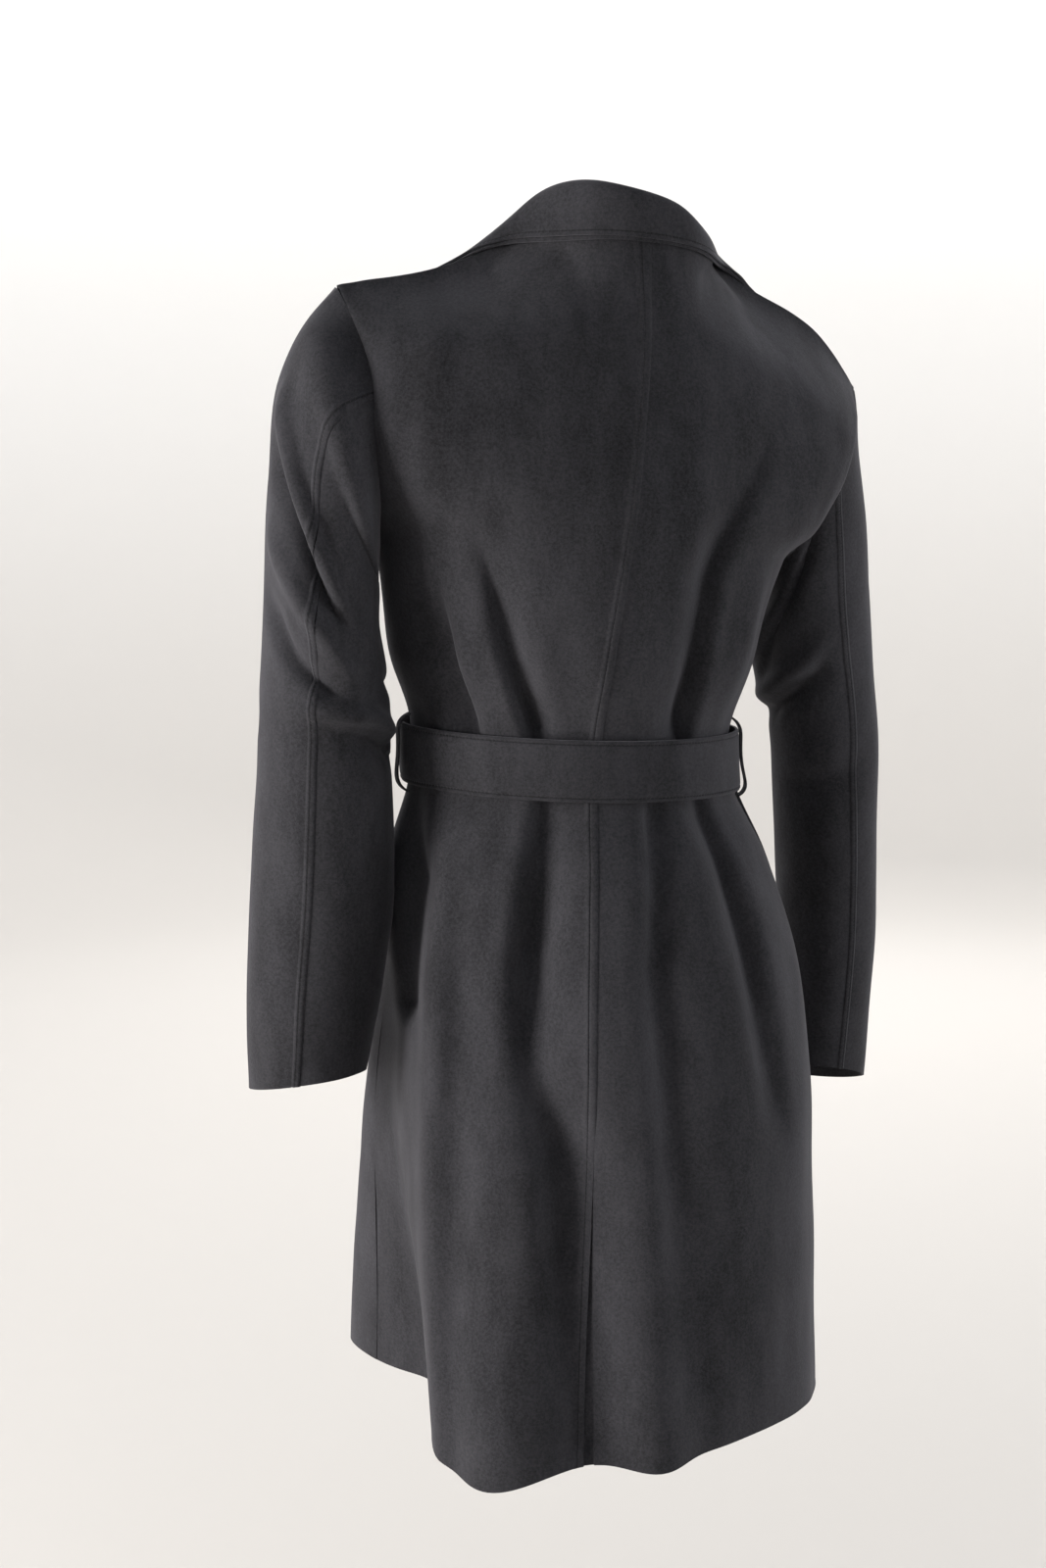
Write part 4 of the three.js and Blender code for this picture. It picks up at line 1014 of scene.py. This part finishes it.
def knot_lump(material):
    """The knot: an oval lump with flattened sides, whose surface is drawn in along slanting turns of the cloth."""
    seat, out, up, across = front_directions()
    turn = np.linspace(0, np.pi, 49)[1:-1][:, None]
    round_ = np.linspace(0, 2 * np.pi, 97)[:-1][None]
    flat = lambda v: np.sign(v) * np.abs(v) ** 0.7
    wound = np.cos(turn) * 2.2 + 0.55 * np.cos(round_)
    groove = 1 - 0.13 * bell((wound - 0.75) / 0.16) - 0.13 * bell((wound + 0.8) / 0.16)
    x = KNOT[0] * flat(np.sin(turn)) * flat(np.cos(round_)) * groove
    y = KNOT[2] * flat(np.sin(turn)) * flat(np.sin(round_)) * groove
    z = KNOT[1] * flat(np.cos(turn)) + 0 * round_
    points = seat + x[..., None] * across + y[..., None] * out + z[..., None] * up
    rows, columns = points.shape[:2]
    ends = np.stack([seat + up * KNOT[1], seat - up * KNOT[1]])
    places = np.concatenate([points.reshape(-1, 3), ends]) * MM
    numbers = np.arange(rows * columns).reshape(rows, columns)
    quads = grid_quads(numbers, True)
    ring = np.arange(columns)
    after = (ring + 1) % columns
    last = (rows - 1) * columns
    top, bottom = rows * columns, rows * columns + 1
    top_cap = np.stack([np.full(columns, top), ring, after], -1)
    bottom_cap = np.stack([np.full(columns, bottom), last + after, last + ring], -1)
    mesh = bpy.data.meshes.new("belt_knot")
    mesh.from_pydata(places.tolist(), [], quads.tolist() + top_cap.tolist() + bottom_cap.tolist())
    shaped = bmesh.new()
    shaped.from_mesh(mesh)
    bmesh.ops.recalc_face_normals(shaped, faces=shaped.faces)
    shaped.to_mesh(mesh)
    shaped.free()
    mesh.polygons.foreach_set("use_smooth", np.ones(len(mesh.polygons), bool))
    mesh.materials.append(material)
    mesh.update()
    piece = bpy.data.objects.new("belt_knot", mesh)
    bpy.context.scene.collection.objects.link(piece)
    return piece


def belt_end(name, length, lean, height, stand, materials):
    """A hanging end of the belt: narrow under the knot, full width further down, laid over the skirt."""
    top = BELT_MIDDLE + KNOT[1] + SEAM
    down = spread(0, 1, 4 / length)[:, None]
    across = spread(-1, 1, 0.08, (-0.97, -0.87, -0.84, 0.84, 0.87, 0.97))[None]
    width = BELT_WIDTH / 2 * mix(0.62, 1, ease(down / 0.2))
    x = KNOT_ASIDE + lean * down * length + across * width
    z = -(top + down * length) + 0 * across
    angle, drop = place_on_front(x, z)
    out = unit(waist(-angle, top, 1) - waist(-angle, top, 0))
    gather = 3.5 * np.cos(across * np.pi * 1.5) * (1 - ease(down / 0.3))
    sway = 2.2 * np.sin(down * 7 + lean * 9) * ease(down / 0.3)
    off = mix(stand, height, ease(down / 0.35)) + gather + sway
    edge = (1 - np.abs(across)) * width
    outer = off - 0.45 * bell((edge - 3.2) / 0.9)
    surface = worn(cut(angle, drop, True))
    seam = np.stack([edge + 1.8, down * length + 0 * across], -1)
    return wall(
        name, surface + out * (off - BELT_WALL)[..., None], surface + out * outer[..., None], materials, seam=seam
    )


# Materials

# Sockets of the colour mixing node: its share and its two colours, and the result among its outputs
MIX_SHARE, MIX_FIRST, MIX_SECOND, MIX_RESULT = 0, 6, 7, 2
# Painted shade on the stage: share of its colour that is left at the floor, darker and a little warmer there, and the
# heights between which it fades in (m)
FLOOR_PAINTED_SHADE_TINT = (0.66, 0.63, 0.6)
FLOOR_PAINTED_SHADE_HEIGHTS = (-1.41, 1.2)


def add(tree, kind, inputs=(), **settings):
    """Adds a node, with its settings, and fills its inputs from values or from other nodes' outputs."""
    node = tree.nodes.new(kind)
    for key, value in settings.items():
        setattr(node, key, value)
    for key, value in dict(inputs).items():
        if isinstance(value, bpy.types.NodeSocket):
            tree.links.new(value, node.inputs[key])
        else:
            node.inputs[key].default_value = value
    return node


def maths(tree, operation, first, second=0.0, third=0.0):
    return add(tree, "ShaderNodeMath", {0: first, 1: second, 2: third}, operation=operation).outputs[0]


def noise(tree, place, scale, detail, roughness=0.5):
    values = {"Vector": place, "Scale": scale, "Detail": detail, "Roughness": roughness}
    return add(tree, "ShaderNodeTexNoise", values).outputs["Fac"]


def ranged(tree, value, low, high, to_low, to_high):
    """A value's range mapped smoothly to another one."""
    values = {"Value": value, "From Min": low, "From Max": high, "To Min": to_low, "To Max": to_high}
    return add(tree, "ShaderNodeMapRange", values, interpolation_type="SMOOTHSTEP").outputs[0]


def suede(name, settings, lighter=1.0):
    """Suede-like cloth: dark, with soft patches where the short nap lies another way, a fine mottled grain, and a
    soft sheen at grazing angles. A seam map draws the rows of stitches: a groove, with painted shade darkening the
    cloth along it."""
    material = bpy.data.materials.new(name)
    material.use_nodes = True
    tree = material.node_tree
    tree.nodes.clear()
    place = add(tree, "ShaderNodeTexCoord").outputs["Object"]
    hanging = add(tree, "ShaderNodeMapping", {"Vector": place, "Scale": (1, 1, 0.42)}).outputs[0]
    patches = noise(tree, hanging, 9, 3, 0.55)
    strokes = noise(tree, hanging, 42, 4, 0.6)
    grain = noise(tree, place, 420, 3, 0.7)
    fibre = noise(tree, place, 1500, 2, 0.6)
    tone = maths(tree, "MULTIPLY_ADD", ranged(tree, patches, 0.32, 0.68, -1, 1), 0.22, 1)
    tone = maths(tree, "MULTIPLY_ADD", ranged(tree, strokes, 0.3, 0.7, -1, 1), 0.17, tone)
    tone = maths(tree, "MULTIPLY_ADD", ranged(tree, grain, 0.25, 0.75, -1, 1), 0.3, tone)
    tone = maths(tree, "MULTIPLY_ADD", ranged(tree, fibre, 0.25, 0.75, -1, 1), 0.2, tone)
    stitched = add(tree, "ShaderNodeAttribute", attribute_name="seam_map").outputs["Vector"]
    split = add(tree, "ShaderNodeSeparateXYZ", {0: stitched})
    distance = maths(tree, "ABSOLUTE", maths(tree, "SUBTRACT", split.outputs[0], 0.005))
    line = ranged(tree, distance, 0.0003, 0.0009, 1, 0)
    dash = ranged(tree, maths(tree, "FRACT", maths(tree, "DIVIDE", split.outputs[1], 0.0032)), 0.62, 0.8, 1, 0)
    thread = maths(tree, "MULTIPLY", line, dash)
    # Painted shade: the cloth's colour is darkened by nearly half along the stitching groove.
    tone = maths(tree, "MULTIPLY", tone, maths(tree, "MULTIPLY_ADD", line, -0.45, 1))
    base = (*[c * lighter for c in settings.colour], 1)
    colour = add(
        tree, "ShaderNodeMix", {MIX_SHARE: 1.0, MIX_FIRST: base, MIX_SECOND: tone}, data_type="RGBA",
        blend_type="MULTIPLY",
    ).outputs[MIX_RESULT]
    height = maths(tree, "MULTIPLY_ADD", grain, 0.00022, maths(tree, "MULTIPLY", fibre, 0.0001))
    height = maths(tree, "MULTIPLY_ADD", strokes, 0.0004, height)
    height = maths(tree, "MULTIPLY_ADD", line, -0.0004, height)
    height = maths(tree, "MULTIPLY_ADD", thread, 0.0003, height)
    bump = add(tree, "ShaderNodeBump", {"Strength": 0.8, "Distance": 1.0, "Height": height})
    shader = add(tree, "ShaderNodeBsdfPrincipled", {
        "Base Color": colour,
        "Roughness": settings.roughness,
        "Normal": bump.outputs[0],
        "Specular IOR Level": 0.18,
        "Sheen Weight": settings.sheen,
        "Sheen Roughness": 0.42,
        "Sheen Tint": (0.62, 0.6, 0.66, 1),
    })
    output = add(tree, "ShaderNodeOutputMaterial")
    tree.links.new(shader.outputs[0], output.inputs[0])
    return material


def plain(name, colour, roughness):
    """Plain matt stage paint with the faintest unevenness, and painted shade that makes it a little darker and warmer
    near the floor.
    """
    material = bpy.data.materials.new(name)
    material.use_nodes = True
    tree = material.node_tree
    shader = tree.nodes["Principled BSDF"]
    place = add(tree, "ShaderNodeTexCoord").outputs["Object"]
    uneven = ranged(tree, noise(tree, place, 3, 2), 0.2, 0.8, roughness - 0.03, roughness + 0.03)
    tree.links.new(uneven, shader.inputs["Roughness"])
    # Painted shade: the stage's colour grows darker, and a little warmer, from the backdrop's height down to the
    # floor.
    height = add(tree, "ShaderNodeSeparateXYZ", {0: place}).outputs[2]
    unshaded_share = ranged(tree, height, *FLOOR_PAINTED_SHADE_HEIGHTS, 0, 1)
    low = (*[c * share for c, share in zip(colour, FLOOR_PAINTED_SHADE_TINT)], 1)
    stage_colour_with_shade = add(
        tree, "ShaderNodeMix", {MIX_SHARE: unshaded_share, MIX_FIRST: low, MIX_SECOND: (*colour, 1)}, data_type="RGBA",
    ).outputs[MIX_RESULT]
    tree.links.new(stage_colour_with_shade, shader.inputs["Base Color"])
    return material


# Settings, operators and panel

class CoatSettings(bpy.types.PropertyGroup):
    """Finish of the cloth"""

    colour: bpy.props.FloatVectorProperty(
        name="Cloth colour", description="Colour of the suede-like cloth", subtype="COLOR", size=3,
        min=0, max=1, default=(0.0265, 0.0258, 0.0292),
    )
    roughness: bpy.props.FloatProperty(
        name="Roughness", description="How matt the nap is", subtype="FACTOR", min=0, max=1, default=0.92,
    )
    sheen: bpy.props.FloatProperty(
        name="Sheen", description="Soft shine of the nap at grazing angles", subtype="FACTOR", min=0, max=1,
        default=0.2,
    )


class StageSettings(bpy.types.PropertyGroup):
    """Floor, backdrop and light"""

    floor_height: bpy.props.FloatProperty(
        name="Floor height", description="Height of the floor under the neck base", subtype="DISTANCE", unit="LENGTH",
        default=-1.41,
    )
    cove_radius: bpy.props.FloatProperty(
        name="Cove radius", description="Radius at which the floor turns up into the backdrop", subtype="DISTANCE",
        unit="LENGTH", default=4.0,
    )
    wall_colour: bpy.props.FloatVectorProperty(
        name="Backdrop colour", description="Colour of floor and backdrop", subtype="COLOR", size=3, min=0, max=1,
        default=(0.9, 0.895, 0.885),
    )
    key_power: bpy.props.FloatProperty(
        name="Key light", description="Power of the large soft light", subtype="POWER", unit="POWER", min=0,
        default=130,
    )


def cloth_materials():
    """The cloth's face and its cut edge, made once."""
    settings = bpy.context.scene.coat
    face = bpy.data.materials.get("suede_nap") or suede("suede_nap", settings)
    edge = bpy.data.materials.get("suede_cut_edge") or suede("suede_cut_edge", settings, 1.25)
    return [face, edge]


class COAT_OT_backs(bpy.types.Operator):
    """Sew the two back panels and the vent's underlap"""

    bl_idname = "coat.backs"
    bl_label = "Backs and vent"

    def execute(self, context):
        materials = cloth_materials()
        sew(back_panel(1, materials), "back_left")
        sew(back_panel(-1, materials), "back_right")
        sew(vent_underlap(materials), "vent_underlap")
        return {"FINISHED"}


class COAT_OT_fronts(bpy.types.Operator):
    """Sew the two fronts and their lapels"""

    bl_idname = "coat.fronts"
    bl_label = "Fronts and lapels"

    def execute(self, context):
        materials = cloth_materials()
        for side, word in ((1, "left"), (-1, "right")):
            sew(front_panel(side, materials), "front_" + word)
            sew(lapel_panel(side, materials), "lapel_" + word)
        return {"FINISHED"}


class COAT_OT_sleeves(bpy.types.Operator):
    """Sew the two-piece sleeves"""

    bl_idname = "coat.sleeves"
    bl_label = "Sleeves"

    def execute(self, context):
        for side in (1, -1):
            for node, piece in sleeve_panels(side, cloth_materials()):
                sew(piece, node)
        return {"FINISHED"}


class COAT_OT_collar(bpy.types.Operator):
    """Sew the two layers of the collar"""

    bl_idname = "coat.collar"
    bl_label = "Collar"

    def execute(self, context):
        for node, piece in collar_panels(cloth_materials()):
            sew(piece, node)
        return {"FINISHED"}


class COAT_OT_belt(bpy.types.Operator):
    """Put on the belt with its loops"""

    bl_idname = "coat.belt"
    bl_label = "Belt and loops"

    def execute(self, context):
        materials = cloth_materials()
        sew(belt_band(materials), "belt")
        sew(belt_loop(1, materials), "belt_loop_left")
        sew(belt_loop(-1, materials), "belt_loop_right")
        return {"FINISHED"}


class COAT_OT_tie(bpy.types.Operator):
    """Tie the belt at the front: the knot and its two ends"""

    bl_idname = "coat.tie"
    bl_label = "Knot and ends"

    def execute(self, context):
        materials = cloth_materials()
        sew(knot_lump(materials[0]), "belt_knot")
        sew(belt_end("belt_end_upper", END_LENGTH[0], 0.13, 17.5, KNOT_STAND, materials), "belt_end_upper")
        sew(
            belt_end("belt_end_under", END_LENGTH[1], -0.16, 12, KNOT_STAND - BELT_WALL - 1, materials),
            "belt_end_under",
        )
        return {"FINISHED"}


def cove(settings):
    """Floor and backdrop in one: a profile that runs level, turns up on a quarter circle and rises, carried once
    round the middle."""
    radius, turn = settings.cove_radius, 1.6
    bow = np.linspace(0, np.pi / 2, 17)
    profile = np.concatenate([
        [[0.02, 0], [radius * 0.4, 0]],
        np.stack([radius + turn * np.sin(bow), turn * (1 - np.cos(bow))], -1),
        [[radius + turn, 6.5]],
    ])
    around = np.linspace(0, 2 * np.pi, 97)[:-1]
    x = profile[:, :1] * np.cos(around)
    y = profile[:, :1] * np.sin(around)
    z = settings.floor_height + profile[:, 1:] + 0 * around
    points = np.stack([x, y, z], -1)
    numbers = np.arange(points.shape[0] * points.shape[1]).reshape(points.shape[:2])
    faces = grid_quads(numbers, True).tolist() + [numbers[0].tolist()]
    mesh = bpy.data.meshes.new("stage_cove")
    mesh.from_pydata(points.reshape(-1, 3).tolist(), [], faces)
    mesh.polygons.foreach_set("use_smooth", np.ones(len(mesh.polygons), bool))
    mesh.materials.append(plain("stage_paint", settings.wall_colour, 0.9))
    mesh.update()
    floor = bpy.data.objects.new("stage_cove", mesh)
    bpy.context.scene.collection.objects.link(floor)


def area_light(name, place, aim, size, power, colour):
    lamp = bpy.data.lights.new(name, "AREA")
    lamp.shape = "RECTANGLE"
    lamp.size, lamp.size_y = size
    lamp.energy = power
    lamp.color = colour
    holder = bpy.data.objects.new(name, lamp)
    bpy.context.scene.collection.objects.link(holder)
    holder.location = place
    holder.rotation_mode = "QUATERNION"
    holder.rotation_quaternion = (Vector(aim) - Vector(place)).to_track_quat("-Z", "Y")


class COAT_OT_stage(bpy.types.Operator):
    """Set the pale stage, its lights and the camera"""

    bl_idname = "coat.stage"
    bl_label = "Stage, light and camera"

    def execute(self, context):
        settings = context.scene.coat_stage
        cove(settings)
        middle = (0.02, 0, -0.45)
        area_light("key", (2.9, 0.75, -0.3), (0.02, 0, -0.6), (1, 1.3), settings.key_power, (1, 0.985, 0.965))
        sleeve = (-0.2, -0.1, -0.5)
        area_light("fill", (-3.1, 0.9, -0.4), sleeve, (0.9, 1.4), settings.key_power * 0.32, (0.96, 0.98, 1))
        area_light("front", (-1.2, -3.6, 0.8), middle, (2.4, 2.4), settings.key_power * 0.38, (1, 1, 1))
        for side in (1, -1):
            wall_aim = (side * 0.8, -5.6, -0.2)
            area_light("backdrop", (side * 2.4, -2.2, 3), wall_aim, (3, 2), settings.key_power * 0.66, (1, 1, 1))
        world = bpy.data.worlds.new("studio")
        world.use_nodes = True
        world.node_tree.nodes["Background"].inputs["Color"].default_value = (0.74, 0.85, 1, 1)
        world.node_tree.nodes["Background"].inputs["Strength"].default_value = 0.31
        context.scene.world = world
        lens = bpy.data.cameras.new("camera")
        lens.lens = CAMERA_LENS
        lens.sensor_width = 36
        camera = bpy.data.objects.new("camera", lens)
        context.scene.collection.objects.link(camera)
        turn = Matrix.Rotation(np.radians(CAMERA_TURN), 4, "Z")
        pitch = Matrix.Rotation(np.radians(90 + CAMERA_PITCH), 4, "X")
        camera.matrix_world = Matrix.Translation(CAMERA_PLACE) @ turn @ pitch
        context.scene.camera = camera
        context.scene.view_settings.view_transform = "Standard"
        return {"FINISHED"}


class COAT_PT_panel(bpy.types.Panel):
    """The coat's pieces and finish"""

    bl_label = "Belted wrap coat"
    bl_space_type = "VIEW_3D"
    bl_region_type = "UI"
    bl_category = "Coat"

    def draw(self, context):
        for settings in (context.scene.coat, context.scene.coat_stage):
            for name in settings.__annotations__:
                self.layout.prop(settings, name)
        for operator in OPERATORS:
            self.layout.operator(operator.bl_idname)


OPERATORS = (
    COAT_OT_backs, COAT_OT_fronts, COAT_OT_sleeves, COAT_OT_collar, COAT_OT_belt, COAT_OT_tie, COAT_OT_stage,
)
CLASSES = (CoatSettings, StageSettings, *OPERATORS, COAT_PT_panel)


def register():
    for made in CLASSES:
        bpy.utils.register_class(made)
    bpy.types.Scene.coat = bpy.props.PointerProperty(type=CoatSettings)
    bpy.types.Scene.coat_stage = bpy.props.PointerProperty(type=StageSettings)


def unregister():
    del bpy.types.Scene.coat
    del bpy.types.Scene.coat_stage
    for made in reversed(CLASSES):
        bpy.utils.unregister_class(made)


def main():
    register()
    for operator in OPERATORS:
        group, name = operator.bl_idname.split(".")
        getattr(getattr(bpy.ops, group), name)()


if __name__ == "__main__":
    main()
